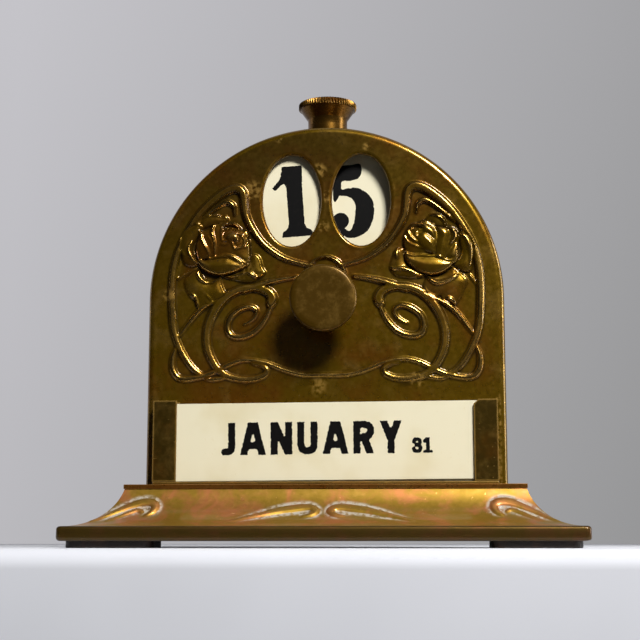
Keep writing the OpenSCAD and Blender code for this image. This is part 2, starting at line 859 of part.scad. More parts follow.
module friction_washer() {
    y0 = face_back + front_bush_flange_t;
    color(STEEL) translate([0, 0, arbor_z])
        tube_y(washer_d, arbor_d, 2 * run_fit, y0, y0 + washer_t);
}

// A turned knob standing on z = 0 with its face at the top
module knob(d, neck_d, neck_l, cone_l, rim_t, bore, teeth, chamfer) {
    l = neck_l + cone_l + rim_t;
    difference() {
        union() {
            rod_z(neck_d, 0, neck_l);
            translate([0, 0, neck_l])
                cylinder(d1 = neck_d, d2 = d - 2 * (knurl_depth + rim_step), h = cone_l);
            translate([0, 0, neck_l + cone_l]) {
                if (teeth > 0) linear_extrude(rim_t) polygon([for (i = [0 : 2 * teeth - 1])
                    let (r = d / 2 - (i % 2) * knurl_depth, a = 180 * i / teeth)
                    [r * cos(a), r * sin(a)]]);
                else {
                    cylinder(d = d, h = rim_t - chamfer);
                    translate([0, 0, rim_t - chamfer])
                        cylinder(d1 = d, d2 = d - 2 * chamfer, h = chamfer);
                }
            }
        }
        rod_z(bore + 2 * fixed_fit, -over, l - knob_cap);
    }
}

module front_knob() {
    color(BRASS) translate([0, front_knob_back, arbor_z]) rotate([90, 0, 0])
        knob(front_knob_d, front_neck_d, front_neck_l, front_cone_l, front_rim_t,
             arbor_d, 0, knob_chamfer);
}

module arbor() {
    color(STEEL) translate([0, 0, arbor_z]) rod_y(arbor_d, arbor_front, arbor_end);
}

module arbor_collar() {
    color(PALE_BRASS) translate([0, 0, arbor_z])
        tube_y(collar_d, arbor_d, fixed_fit, collar_y, collar_y + collar_l);
}

module arbor_clip() {
    y0 = bracket_back + end_float;
    color(STEEL) translate([0, 0, arbor_z])
        tube_y(arbor_d + 2 * clip_w, arbor_d, fixed_fit, y0, y0 + clip_t);
}

// Places its children round the arbor at the rivets of a hub
module at_hub_rivets() {
    for (i = [0 : 3]) rotate([0, 45 + 90 * i, 0]) translate([rivet_circle_r, 0, 0]) children();
}

// The tens disc: a digit and a cut-out take turns round it, so that the window
// beside a digit looks through to the units disc
module tens_disc() {
    color(CELLULOID) translate([0, 0, arbor_z]) difference() {
        rod_y(2 * disc_r, tens_y, tens_back, $fn = 192);
        bore_y(spigot_d, fixed_fit, tens_y, tens_back);
        at_hub_rivets() bore_y(rivet_d, fixed_fit, tens_y, tens_back);
        for (i = [0 : tens_count - 1]) {
            translate([0, tens_back + over, 0]) rotate([90, 0, 0])
                rotate([0, 0, 90 - cut_start - cut_angle - 360 * i / tens_count])
                rotate_extrude(angle = cut_angle, $fn = 192)
                translate([cut_in, 0]) square([cut_out - cut_in, disc_t + 2 * over]);
        }
    }
}

module tens_hub() {
    color(PALE_BRASS) translate([0, 0, arbor_z]) difference() {
        union() {
            rod_y(spigot_d, tens_y - spigot_proud, tens_hub_back);
            rod_y(flange_d, tens_back, tens_hub_back);
        }
        bore_y(arbor_d, fixed_fit, tens_y - spigot_proud, tens_hub_back);
        at_hub_rivets() bore_y(rivet_d, fixed_fit, tens_back, tens_hub_back);
    }
}

// Flat-headed rivets through a disc and the hub flange behind it
module hub_rivets(y0, y1) {
    color(PALE_BRASS) translate([0, 0, arbor_z]) at_hub_rivets() {
        rod_y(rivet_d, y0 - rivet_head_h, y1);
        rod_y(rivet_head_d, y0 - rivet_head_h, y0);
    }
}

module tens_rivets() { hub_rivets(tens_y, tens_hub_back); }

module units_disc() {
    color(CELLULOID) translate([0, 0, arbor_z]) difference() {
        rod_y(2 * disc_r, units_y, units_back, $fn = 192);
        bore_y(spigot_d, fixed_fit, units_y, units_back);
        at_hub_rivets() bore_y(rivet_d, fixed_fit, units_y, units_back);
    }
}

module units_hub() {
    color(PALE_BRASS) translate([0, 0, arbor_z]) difference() {
        union() {
            rod_y(spigot_d, units_hub_front, units_hub_back);
            rod_y(flange_d, units_back, units_back + flange_t);
        }
        bore_y(arbor_d, run_fit, units_hub_front, units_hub_back);
        at_hub_rivets() bore_y(rivet_d, fixed_fit, units_back, units_back + flange_t);
    }
}

module units_rivets() { hub_rivets(units_y, units_back + flange_t); }

// One straight tooth of the crown wheel: its flanks lean by the pressure angle
module crown_tooth() {
    half = PI * gear_m / 4 - tooth_play / 4;
    lean = tan(tooth_angle);
    translate([0, 0, crown_r - crown_face / 2]) linear_extrude(crown_face) polygon([
        [-half - (tooth_d + sink) * lean, -tooth_d - sink],
        [half + (tooth_d + sink) * lean, -tooth_d - sink],
        [half - tooth_a * lean, tooth_a],
        [-half + tooth_a * lean, tooth_a]
    ]);
}

module crown_wheel() {
    pitch = 360 / crown_teeth;
    rim_r = crown_r + crown_face / 2;
    color(PALE_BRASS) translate([0, 0, arbor_z]) {
        tube_y(2 * rim_r, spigot_d, fixed_fit, crown_web_back - crown_web_t, crown_web_back);
        translate([0, mesh_y, 0]) {
            for (i = [0 : crown_teeth - 1]) rotate([0, (i + 0.5) * pitch, 0]) crown_tooth();
        }
    }
}

// The pinion's outline: involute flanks drawn from the base circle out
function involute(rb, r) = let (a = acos(rb / r)) tan(a) * 180 / PI - a;
function flank(side, half, rb, r0, r1, n) = [for (i = [0 : n])
    let (
        r = r0 + (r1 - r0) * (side > 0 ? n - i : i) / n,
        a = side * (half - involute(rb, max(r, rb)))
    )
    r * [sin(a), cos(a)]];

module pinion() {
    root_r = pinion_r - tooth_d;
    tip_r = pinion_r + tooth_a;
    base_r = pinion_r * cos(tooth_angle);
    half = (90 - 90 * tooth_play / (PI * gear_m)) / pinion_teeth + involute(base_r, pinion_r);
    color(PALE_BRASS) translate([0, top_y, pinion_z]) difference() {
        union() {
            rod_z(2 * root_r, 0, pinion_h);
            for (i = [0 : pinion_teeth - 1]) rotate([0, 0, 180 + 360 * i / pinion_teeth]) {
                linear_extrude(pinion_h) polygon(concat(
                    flank(-1, half, base_r, root_r - sink, tip_r, 6),
                    flank(1, half, base_r, root_r - sink, tip_r, 6)
                ));
            }
        }
        bore_z(top_shaft_d, fixed_fit, 0, pinion_h);
    }
}

// Places its children at the two screws of the bracket's foot
module at_bracket_screws() {
    for (side = [-1, 1])
        translate([side * bracket_screw_span / 2, bracket_back - bracket_foot / 2, 0]) children();
}

module arbor_bracket() {
    color(STEEL) difference() {
        union() {
            translate([-bracket_w / 2, bracket_y, floor_top])
                cube([bracket_w, bracket_t, ear_z + bracket_t - floor_top]);
            translate([-bracket_w / 2, bracket_back - bracket_foot, floor_top])
                cube([bracket_w, bracket_foot, bracket_t]);
            translate([-bracket_w / 2, ear_y, ear_z])
                cube([bracket_w, bracket_back - ear_y, bracket_t]);
        }
        translate([0, 0, arbor_z]) bore_y(arbor_d, run_fit, bracket_y, bracket_back);
        translate([0, top_y, 0]) bore_z(top_shaft_d, run_fit, ear_z, ear_z + bracket_t);
        at_bracket_screws() bore_z(bracket_screw_d, fixed_fit, floor_top, floor_top + bracket_t);
    }
}

module bracket_screws() {
    top = floor_top + bracket_t;
    color(STEEL) at_bracket_screws() {
        rod_z(bracket_screw_d, case_z, top + bracket_head_h / 2);
        rod_z(bracket_head_d, top, top + bracket_head_h);
    }
}

module top_bush() {
    color(PALE_BRASS) difference() {
        union() {
            translate([0, top_y, 0]) rod_z(top_bush_d, bush_bottom, top_flange_z);
            difference() {
                translate([0, top_y, 0])
                    rod_z(top_flange_d, case_top - top_flange_h, top_flange_z);
                translate([0, 0, arch_z]) rod_y(2 * arch_r, face_y, case_back, $fn = 192);
            }
        }
        translate([0, top_y, 0]) bore_z(top_shaft_d, run_fit, bush_bottom, top_flange_z);
    }
}

module top_bush_nut() {
    color(PALE_BRASS) translate([0, top_y, nut_top - bush_nut_t]) difference() {
        cylinder(d = bush_nut_d, h = bush_nut_t, $fn = 6);
        bore_z(top_bush_d, fixed_fit, 0, bush_nut_t);
    }
}

module top_knob() {
    color(BRASS) translate([0, top_y, top_knob_z])
        knob(top_knob_d, top_neck_d, top_neck_l, top_cone_l, top_rim_t, top_shaft_d, knurl_count, 0);
}

module top_shaft() {
    color(STEEL) translate([0, top_y, 0])
        rod_z(top_shaft_d, ear_z - shaft_tail, top_knob_z + top_knob_l - knob_cap);
}

module top_keeper() {
    z1 = bush_bottom - end_float;
    color(PALE_BRASS) translate([0, top_y, 0])
        tube_z(keeper_d, top_shaft_d, fixed_fit, z1 - keeper_l, z1);
}

base_shell();
base_top_plate();
base_bottom_plate();
base_spacers();
base_screws();
foot_pad_front_left();
foot_pad_front_right();
foot_pad_rear_left();
foot_pad_rear_right();
front_plate();
case_band();
joint_strip();
case_floor();
back_cover();
cover_lugs();
cover_screws();
card_sill();
left_card_channel();
right_card_channel();
channel_rivets();
month_card_1();
month_card_2();
month_card_3();
month_card_4();
month_card_5();
month_card_6();
front_bush();
friction_washer();
front_knob();
arbor();
arbor_collar();
arbor_clip();
tens_disc();
tens_hub();
tens_rivets();
units_disc();
units_hub();
units_rivets();
crown_wheel();
arbor_bracket();
bracket_screws();
top_bush();
top_bush_nut();
top_knob();
top_shaft();
top_keeper();
pinion();
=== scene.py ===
"""Looks for the brass desk calendar: pressed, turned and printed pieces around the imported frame."""
import math
from functools import partial

import bmesh
import bpy
import numpy as np
from bpy.props import FloatProperty, FloatVectorProperty, PointerProperty
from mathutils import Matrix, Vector


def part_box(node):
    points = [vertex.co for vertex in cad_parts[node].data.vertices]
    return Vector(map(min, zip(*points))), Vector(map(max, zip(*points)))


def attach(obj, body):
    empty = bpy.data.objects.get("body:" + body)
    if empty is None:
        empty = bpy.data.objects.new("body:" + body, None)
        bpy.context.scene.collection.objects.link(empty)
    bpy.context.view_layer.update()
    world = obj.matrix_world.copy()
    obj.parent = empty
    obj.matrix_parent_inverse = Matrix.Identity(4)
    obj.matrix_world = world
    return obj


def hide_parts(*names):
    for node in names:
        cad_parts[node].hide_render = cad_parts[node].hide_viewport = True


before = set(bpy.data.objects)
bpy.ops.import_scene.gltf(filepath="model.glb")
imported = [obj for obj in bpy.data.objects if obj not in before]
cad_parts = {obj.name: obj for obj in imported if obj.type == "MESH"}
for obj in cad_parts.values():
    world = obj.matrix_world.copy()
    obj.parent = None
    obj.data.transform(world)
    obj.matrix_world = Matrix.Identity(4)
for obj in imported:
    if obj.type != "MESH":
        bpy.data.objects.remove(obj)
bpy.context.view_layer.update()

bl_info = {
    "name": "Brass Desk Calendar",
    "version": (1, 0, 0),
    "blender": (4, 5, 0),
    "location": "View3D > Sidebar > Calendar",
    "description": "Builds the pressed brass case, base, knobs, discs and cards of a perpetual desk calendar",
    "category": "Object",
}

MM = 0.001
TOOTH_STEPS = 8  # steps round a knurled rim for each tooth
CROWN = 2.3  # metal left between a knob's bore and its top


# Sizes taken from the frame, in millimetres

def span(node):
    """The low and high corner of a node of the frame, in millimetres."""
    low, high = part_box(node)
    return Vector(low) / MM, Vector(high) / MM


PLATE_LOW, PLATE_HIGH = span("front_plate")
ARCH_R = PLATE_HIGH.x
CASE_TOP = PLATE_HIGH.z
CASE_Z = PLATE_LOW.z
ARCH_Z = CASE_TOP - ARCH_R
SKIRT_Y = PLATE_HIGH.y  # where the plate's rim ends on the band
BUSH_LOW, BUSH_HIGH = span("front_bush")
FACE_Y = BUSH_LOW.y  # the plate's face, on which the front bush sits
FACE_BACK = FACE_Y + 1.0  # the rear of the plate's brass
ARBOR_Z = (BUSH_LOW.z + BUSH_HIGH.z) / 2
SHELL_LOW, SHELL_HIGH = span("base_shell")
DIGIT_RING = 29.673  # from the arbor's axis to the middle of the digits on their discs
# The windows' middles and half sizes
WINDOW_Z = ARBOR_Z + DIGIT_RING
WINDOWS_X = (-9.291, 9.991)
WINDOW_HALF_W, WINDOW_HALF_H = 8.141, 13.0


# Colours and node trees

def srgb(code):
    """A linear colour from an sRGB hex value."""
    parts = [int(code[i:i + 2], 16) / 255 for i in (1, 3, 5)]
    return tuple(c / 12.92 if c <= 0.04045 else ((c + 0.055) / 1.055) ** 2.4 for c in parts)


def add_node(tree, kind, values=(), out=0, **settings):
    """Adds a node with its settings, sets or links its inputs and returns one output. values names the
    inputs, or is a row of what goes into them from the first on."""
    made = tree.nodes.new(kind)
    for name, value in settings.items():
        setattr(made, name, value)
    for name, value in values.items() if isinstance(values, dict) else enumerate(values):
        if isinstance(value, bpy.types.NodeSocket):
            tree.links.new(value, made.inputs[name])
        else:
            made.inputs[name].default_value = value
    return made.outputs[out] if len(made.outputs) else None


def rgba(colour):
    """A colour property or tuple with full opacity."""
    return (colour[0], colour[1], colour[2], 1.0)


def per_metre(size_mm):
    """The texture scale at which one feature is size_mm wide."""
    return 1.0 / (size_mm * MM)


def adder(owner):
    """Empties the node tree of a material or a world, and returns the function that adds to it."""
    owner.use_nodes = True
    owner.node_tree.nodes.clear()
    return partial(add_node, owner.node_tree)


def new_material(name, finish, **values):
    """A node material with one of the finishes below, which gets the function that adds to its tree and the
    place on the object that its patterns follow, and returns the surface."""
    made = bpy.data.materials.new(name)
    add = adder(made)
    place = add("ShaderNodeTexCoord", out="Object")
    add("ShaderNodeOutputMaterial", {"Surface": finish(add, place, **values)})
    return made


# Materials

RANGE = "ShaderNodeMapRange"  # its row is a value, the range it comes from and the range it goes to
MATHS = "ShaderNodeMath"
NOISE = "ShaderNodeTexNoise"
MARK = "ShaderNodeAttribute"
BUMP = "ShaderNodeBump"
MIX = "ShaderNodeMix"
SHADER = "ShaderNodeBsdfPrincipled"
SOFT = {"interpolation_type": "SMOOTHSTEP"}
HELD = {"use_clamp": True}
ADD = {"operation": "ADD"}
TIMES = {"operation": "MULTIPLY"}
MOST = {"operation": "MAXIMUM"}
COLOURS = {"out": 2, "data_type": "RGBA"}


def aged_brass(add, place, look, bare, film, blush, rough, mottle_mm, residue=0.0, edge_mm=0.0):
    """Pressed yellow brass, once lacquered and long handled: an olive-brown film of tarnish with a coppery
    blush in places over gold metal, nearly black in the hollows, worn through to bare gold on the crests
    that a cloth reaches, with pinhead flecks and, on the base, dried white polish round the raised scrolls.
    Painted shade mixes the film towards the deep tarnish colour where the plate's top and left and the base's
    slab are marked, and a painted highlight bares a strip beside the right card channel to gold.
    Metallic, so its colour is in its reflections, under a thin old lacquer that keeps the highlights pale."""
    hollow, rubbed, grime = [add(MARK, out="Fac", attribute_name=mark)
                             for mark in ("hollow", "rubbed", "grime")]
    clouds = add(NOISE, {"Vector": place, "Scale": per_metre(mottle_mm), "Detail": 7.0,
                         "Roughness": 0.62, "Distortion": 0.5})
    hues = add(NOISE, {"Vector": place, "Scale": per_metre(1.7 * mottle_mm), "Detail": 7.0,
                       "Roughness": 0.6, "Distortion": 0.4})
    fine = add(NOISE, {"Vector": place, "Scale": per_metre(1.1), "Detail": 6.0})
    flecks = add(NOISE, {"Vector": place, "Scale": per_metre(0.75), "Detail": 0.0})
    crest = add(RANGE, (hollow, -0.12, -0.52, 0.0, 0.85), **SOFT)
    deep = add(RANGE, (hollow, 0.08, 0.44, 0.0, 0.8), **SOFT)
    worn = add(RANGE, (clouds, 0.48, 0.80, 0.0, 0.30), **SOFT)
    grains = add(RANGE, (fine, 0.35, 0.75, -0.02, 0.04))
    pins = add(RANGE, (flecks, 0.79, 0.84, 0.0, 0.6), **SOFT)
    # bare patches where the tarnish is worn through, and a painted highlight strip beside the right card
    # channel
    spots = add(RANGE, (rubbed, 0.0, 0.6, 0.0, 1.0), **SOFT)
    patch = add(RANGE, (fine, 0.40, 0.64, 0.0, 0.36), **SOFT)
    patch = add(MATHS, (patch, spots), **TIMES)
    if edge_mm:
        rounded = add("ShaderNodeBevel", {"Radius": edge_mm * MM}, samples=6)
        flat = add("ShaderNodeNewGeometry", out="True Normal")
        level = add("ShaderNodeVectorMath", (rounded, flat), "Value", operation="DOT_PRODUCT")
        edges = add(RANGE, (level, 0.995, 0.93, 0.0, 0.45), **SOFT)
        patch = add(MATHS, (patch, edges), **MOST)
    bareness = add(MATHS, (crest, worn), **ADD)
    bareness = add(MATHS, (bareness, grains), **ADD)
    bareness = add(MATHS, (bareness, pins), **ADD, **HELD)
    reddish = add(RANGE, (hues, 0.42, 0.68, 0.0, 0.7), **SOFT)
    colour = add(MIX, {0: reddish, 6: rgba(film), 7: rgba(blush)}, **COLOURS)
    colour = add(MIX, {0: bareness, 6: colour, 7: rgba(bare)}, **COLOURS)
    # painted shade: the marked top and left of the plate and the base's slab are mixed towards the deep
    # tarnish colour along with the hollows
    deep = add(MATHS, (deep, grime), **MOST, **HELD)
    colour = add(MIX, {0: deep, 6: colour, 7: rgba(look.tarnish)}, **COLOURS)
    dried = add(RANGE, (hollow, 0.03, 0.13, 0.0, residue), **SOFT)
    broken = add(RANGE, (fine, 0.34, 0.58, 0.25, 1.0), **SOFT)
    dried = add(MATHS, (dried, broken), **TIMES, **HELD)
    colour = add(MIX, {0: dried, 6: colour, 7: rgba(look.polish)}, **COLOURS)
    colour = add(MIX, {0: patch, 6: colour, 7: rgba(bare)}, **COLOURS)
    dried = add(MATHS, (dried, patch), **MOST)
    cleaned = add(RANGE, (bareness, 0.0, 0.6, 0.68, 1.0))
    clean = add(RANGE, (dried, 0.0, 1.0, 1.0, 0.15))
    metal = add(MATHS, (cleaned, clean), **TIMES)
    polish = add(RANGE, (bareness, 0.0, 0.8, rough, rough - 0.10))
    streaks = add(RANGE, (fine, 0.3, 0.7, -0.05, 0.05))
    roughness = add(MATHS, (polish, streaks), **ADD, **HELD)
    roughness = add(MATHS, (roughness, dried), **MOST, **HELD)
    grain = add(BUMP, {"Strength": 0.12, "Distance": 0.04 * MM, "Height": fine})
    return add(SHADER, {
        "Base Color": colour, "Metallic": metal, "Roughness": roughness, "Normal": grain,
        "Specular IOR Level": 0.15, "Coat Weight": 0.4, "Coat Roughness": 0.09,
    })


def turned_brass(add, place, bare, film, rough, ring_mm, film_metal):
    """Brass turned on a lathe and gone brown: fine rings round the axis that only show as a faint silkiness,
    brown clouds, and darker corners. The rings are drawn coarser than a real tool's so that they show."""
    spot, hollow = [add(MARK, out="Fac", attribute_name=mark) for mark in ("turning", "hollow")]
    rings = add(NOISE, {"W": spot, "Scale": 1.0 / ring_mm, "Detail": 3.0}, noise_dimensions="1D")
    clouds = add(NOISE, {"Vector": place, "Scale": per_metre(3.0), "Detail": 8.0, "Roughness": 0.7})
    bareness = add(RANGE, (clouds, 0.42, 0.80, 0.0, 0.25), **SOFT)
    corners = add(RANGE, (hollow, 0.05, 0.5, 0.0, 0.6), **SOFT)
    bareness = add(MATHS, (bareness, corners), operation="SUBTRACT", **HELD)
    colour = add(MIX, {0: bareness, 6: rgba(film), 7: rgba(bare)}, **COLOURS)
    metal = add(RANGE, (bareness, 0.0, 0.5, film_metal, 1.0))
    silk = add(RANGE, (rings, 0.3, 0.7, rough - 0.03, rough + 0.04))
    grain = add(BUMP, {"Strength": 0.05, "Distance": 0.01 * MM, "Height": rings})
    return add(SHADER, {
        "Base Color": colour, "Metallic": metal, "Roughness": silk, "Normal": grain,
        "Specular IOR Level": 0.2, "Coat Weight": 0.1, "Coat Roughness": 0.2,
    })


def cream_celluloid(add, place, face, stain, rough):
    """Printed celluloid sheet gone cream with age: smooth, softly glossy, a little yellow in clouds."""
    clouds = add(NOISE, {"Vector": place, "Scale": per_metre(14.0), "Detail": 3.0})
    clouds = add(RANGE, (clouds, 0.4, 0.75, 0.0, 0.5), **SOFT)
    specks = add(NOISE, {"Vector": place, "Scale": per_metre(0.9), "Detail": 4.0})
    specks = add(RANGE, (specks, 0.66, 0.8, 0.0, 0.4), **SOFT)
    share = add(MATHS, (clouds, specks), **ADD, **HELD)
    colour = add(MIX, {0: share, 6: rgba(face), 7: rgba(stain)}, **COLOURS)
    waves = add(NOISE, {"Vector": place, "Scale": per_metre(6.0), "Detail": 2.0})
    grain = add(BUMP, {"Strength": 0.1, "Distance": 0.03 * MM, "Height": waves})
    return add(SHADER, {"Base Color": colour, "Roughness": rough, "IOR": 1.5, "Normal": grain})


def printing_ink(add, place, solid, thin):
    """Black letterpress ink on celluloid: a thin satin film that turns brown-black where it is thin."""
    mottle = add(NOISE, {"Vector": place, "Scale": per_metre(1.2), "Detail": 4.0})
    mottle = add(RANGE, (mottle, 0.5, 0.8, 0.0, 0.6), **SOFT)
    colour = add(MIX, {0: mottle, 6: rgba(solid), 7: rgba(thin)}, **COLOURS)
    satin = add(RANGE, (mottle, 0.0, 0.6, 0.55, 0.7))
    return add(SHADER, {"Base Color": colour, "Roughness": satin, "IOR": 1.5, "Specular IOR Level": 0.1})


def pad_leather(add, place, grain_side, worn_side):
    """Vegetable-tanned leather pads, nearly black with age: a fine pebbled grain and a dull sheen."""
    pebbles = add("ShaderNodeTexVoronoi", {"Vector": place, "Scale": per_metre(0.6)}, "Distance")
    grain = add(BUMP, {"Strength": 0.6, "Distance": 0.08 * MM, "Height": pebbles})
    worn = add(NOISE, {"Vector": place, "Scale": per_metre(4.0), "Detail": 3.0})
    worn = add(RANGE, (worn, 0.45, 0.75), **SOFT)
    colour = add(MIX, {0: worn, 6: rgba(grain_side), 7: rgba(worn_side)}, **COLOURS)
    sheen = add(RANGE, (pebbles, 0.0, 0.6, 0.75, 0.55))
    return add(SHADER, {"Base Color": colour, "Roughness": sheen, "Normal": grain})


def drawn_steel(add, place, clean, bloom, rough):
    """Mild steel, drawn or rolled and left bare: grey with faint brown bloom."""
    patches = add(NOISE, {"Vector": place, "Scale": per_metre(5.0), "Detail": 5.0})
    patches = add(RANGE, (patches, 0.5, 0.75, 0.0, 0.6), **SOFT)
    streaks = add(NOISE, {"Vector": place, "Scale": per_metre(0.5), "Detail": 4.0})
    colour = add(MIX, {0: patches, 6: rgba(clean), 7: rgba(bloom)}, **COLOURS)
    polish = add(RANGE, (streaks, 0.3, 0.7, rough, rough + 0.15))
    return add(SHADER, {"Base Color": colour, "Metallic": 1.0, "Roughness": polish})


def painted_board(add, place, paint_colour, rough, grain_mm):
    """Board painted with matt emulsion: even, with a faint roller texture."""
    stipple = add(NOISE, {"Vector": place, "Scale": per_metre(grain_mm), "Detail": 4.0})
    shade = add(NOISE, {"Vector": place, "Scale": per_metre(60.0), "Detail": 2.0})
    shade = add(RANGE, (shade, 0.3, 0.7), **SOFT)
    deeper = tuple(c * 0.95 for c in paint_colour)
    colour = add(MIX, {0: shade, 6: rgba(paint_colour), 7: rgba(deeper)}, **COLOURS)
    grain = add(BUMP, {"Strength": 0.08, "Distance": 0.1 * MM, "Height": stipple})
    return add(SHADER, {
        "Base Color": colour, "Roughness": rough, "Specular IOR Level": 0.12, "Normal": grain,
    })


def backdrop_paper(add, place, near, far, half_m):
    """Smooth grey backdrop paper with a painted fall of light: lighter on the left and high up, darker to the
    right and low down. It shows this painted shade to the eye and in the metal, and throws only the light
    that falls on it back on the object."""
    side, height = [add("ShaderNodeSeparateXYZ", {0: place}, out=axis) for axis in "XZ"]
    # painted light: the paper darkens to the right and low down, as if lit from the upper left
    across = add(RANGE, (side, -1.15 * half_m, 0.85 * half_m, 0.0, 0.72))
    drop = add(RANGE, (height, 0.0, 1.8 * half_m, 0.28, 0.0))
    share = add(MATHS, (across, drop), **ADD, **HELD)
    colour = add(MIX, {0: share, 6: rgba(near), 7: rgba(far)}, **COLOURS)
    shown = add("ShaderNodeEmission", {"Color": colour, "Strength": 1.0})
    paper = add("ShaderNodeBsdfDiffuse", {"Color": colour, "Roughness": 0.6})
    seen = add("ShaderNodeLightPath", out="Is Camera Ray")
    for ray in ("Is Glossy Ray", "Is Transmission Ray"):
        seen = add(MATHS, (seen, add("ShaderNodeLightPath", out=ray)), **ADD, **HELD)
    return add("ShaderNodeMixShader", (seen, paper, shown))


MADE = {}


def finish_of(slot):
    """The material of a finish, made once."""
    if slot not in MADE:
        look = bpy.context.scene.calendar_colours
        case = {"look": look, "bare": look.brass, "blush": look.blush}
        base = {"look": look, "bare": look.base_brass, "film": look.base_film, "blush": look.base_blush}
        finishes = {
            "aged_brass": ("Pressed brass, tarnished", aged_brass,
                           dict(case, film=look.film, rough=0.31, mottle_mm=9.0)),
            "folded_brass": ("Folded brass, worn at the edges", aged_brass,
                             dict(case, film=look.folded_film, rough=0.36, mottle_mm=9.0, edge_mm=0.8)),
            "plate_brass": ("Rolled brass, coppery", aged_brass,
                            dict(case, film=look.plate_film, rough=0.3, mottle_mm=6.0, edge_mm=0.3)),
            "base_brass": ("Pressed brass, handled", aged_brass,
                           dict(base, rough=0.42, mottle_mm=4.0, residue=0.8)),
            "knob_brass": ("Turned brass, tarnished", turned_brass,
                           dict(bare=look.brass, film=look.knob_film, rough=0.36, ring_mm=0.35,
                                film_metal=0.5)),
            "top_knob_brass": ("Turned brass, handled", turned_brass,
                               dict(bare=look.base_brass, film=look.brass_shade, rough=0.3, ring_mm=0.25,
                                    film_metal=0.92)),
            "turned_brass": ("Turned brass, bright", turned_brass,
                             dict(bare=look.base_brass, film=look.brass, rough=0.25, ring_mm=0.3,
                                  film_metal=1.0)),
            "steel": ("Drawn steel", drawn_steel,
                      dict(clean=srgb("#A9A7A2"), bloom=srgb("#6B5A48"), rough=0.32)),
            "celluloid": ("Cream celluloid", cream_celluloid,
                          dict(face=look.cream, stain=look.stain, rough=0.34)),
            "ink": ("Black printing ink", printing_ink, dict(solid=look.ink, thin=srgb("#171411"))),
            "pad_leather": ("Dark tanned leather", pad_leather,
                            dict(grain_side=look.leather, worn_side=srgb("#3A2415"))),
        }
        name, finish, values = finishes[slot]
        MADE[slot] = new_material(name, finish, **values)
    return MADE[slot]


# Curves, grids and raised patterns, all in millimetres

def smooth_path(points, steps=8, closed=False):
    """A smooth curve through given points, whose further values are eased along with the places."""
    points = [np.array(p, dtype=float) for p in points]
    if closed:
        ring = [points[-1]] + points + [points[0], points[1]]
    else:
        ring = [2 * points[0] - points[1]] + points + [2 * points[-1] - points[-2]]
    path = []
    for i in range(1, len(ring) - 2):
        a, b, c, d = ring[i - 1:i + 3]
        for k in range(steps):
            t = k / steps
            path.append(0.5 * (2 * b + (c - a) * t + (2 * a - 5 * b + 4 * c - d) * t ** 2
                               + (3 * b - a - 3 * c + d) * t ** 3))
    if not closed:
        path.append(points[-1])
    return np.array(path)


def arc(cx, cz, radius, start, end, half, count):
    """Points round a centre, with one half width, for a path."""
    turns = [math.radians(start + (end - start) * i / (count - 1)) for i in range(count)]
    return [(cx + radius * math.cos(a), cz + radius * math.sin(a), half) for a in turns]


def beside_stroke(gx, gz, x0, z0, x1, z1):
    """The distance from places to a straight stroke, and how far along it each nearest point lies, 0 to 1."""
    dx, dz = x1 - x0, z1 - z0
    along = np.clip(((gx - x0) * dx + (gz - z0) * dz) / (dx * dx + dz * dz + 1e-12), 0, 1)
    return np.hypot(gx - x0 - along * dx, gz - z0 - along * dz), along


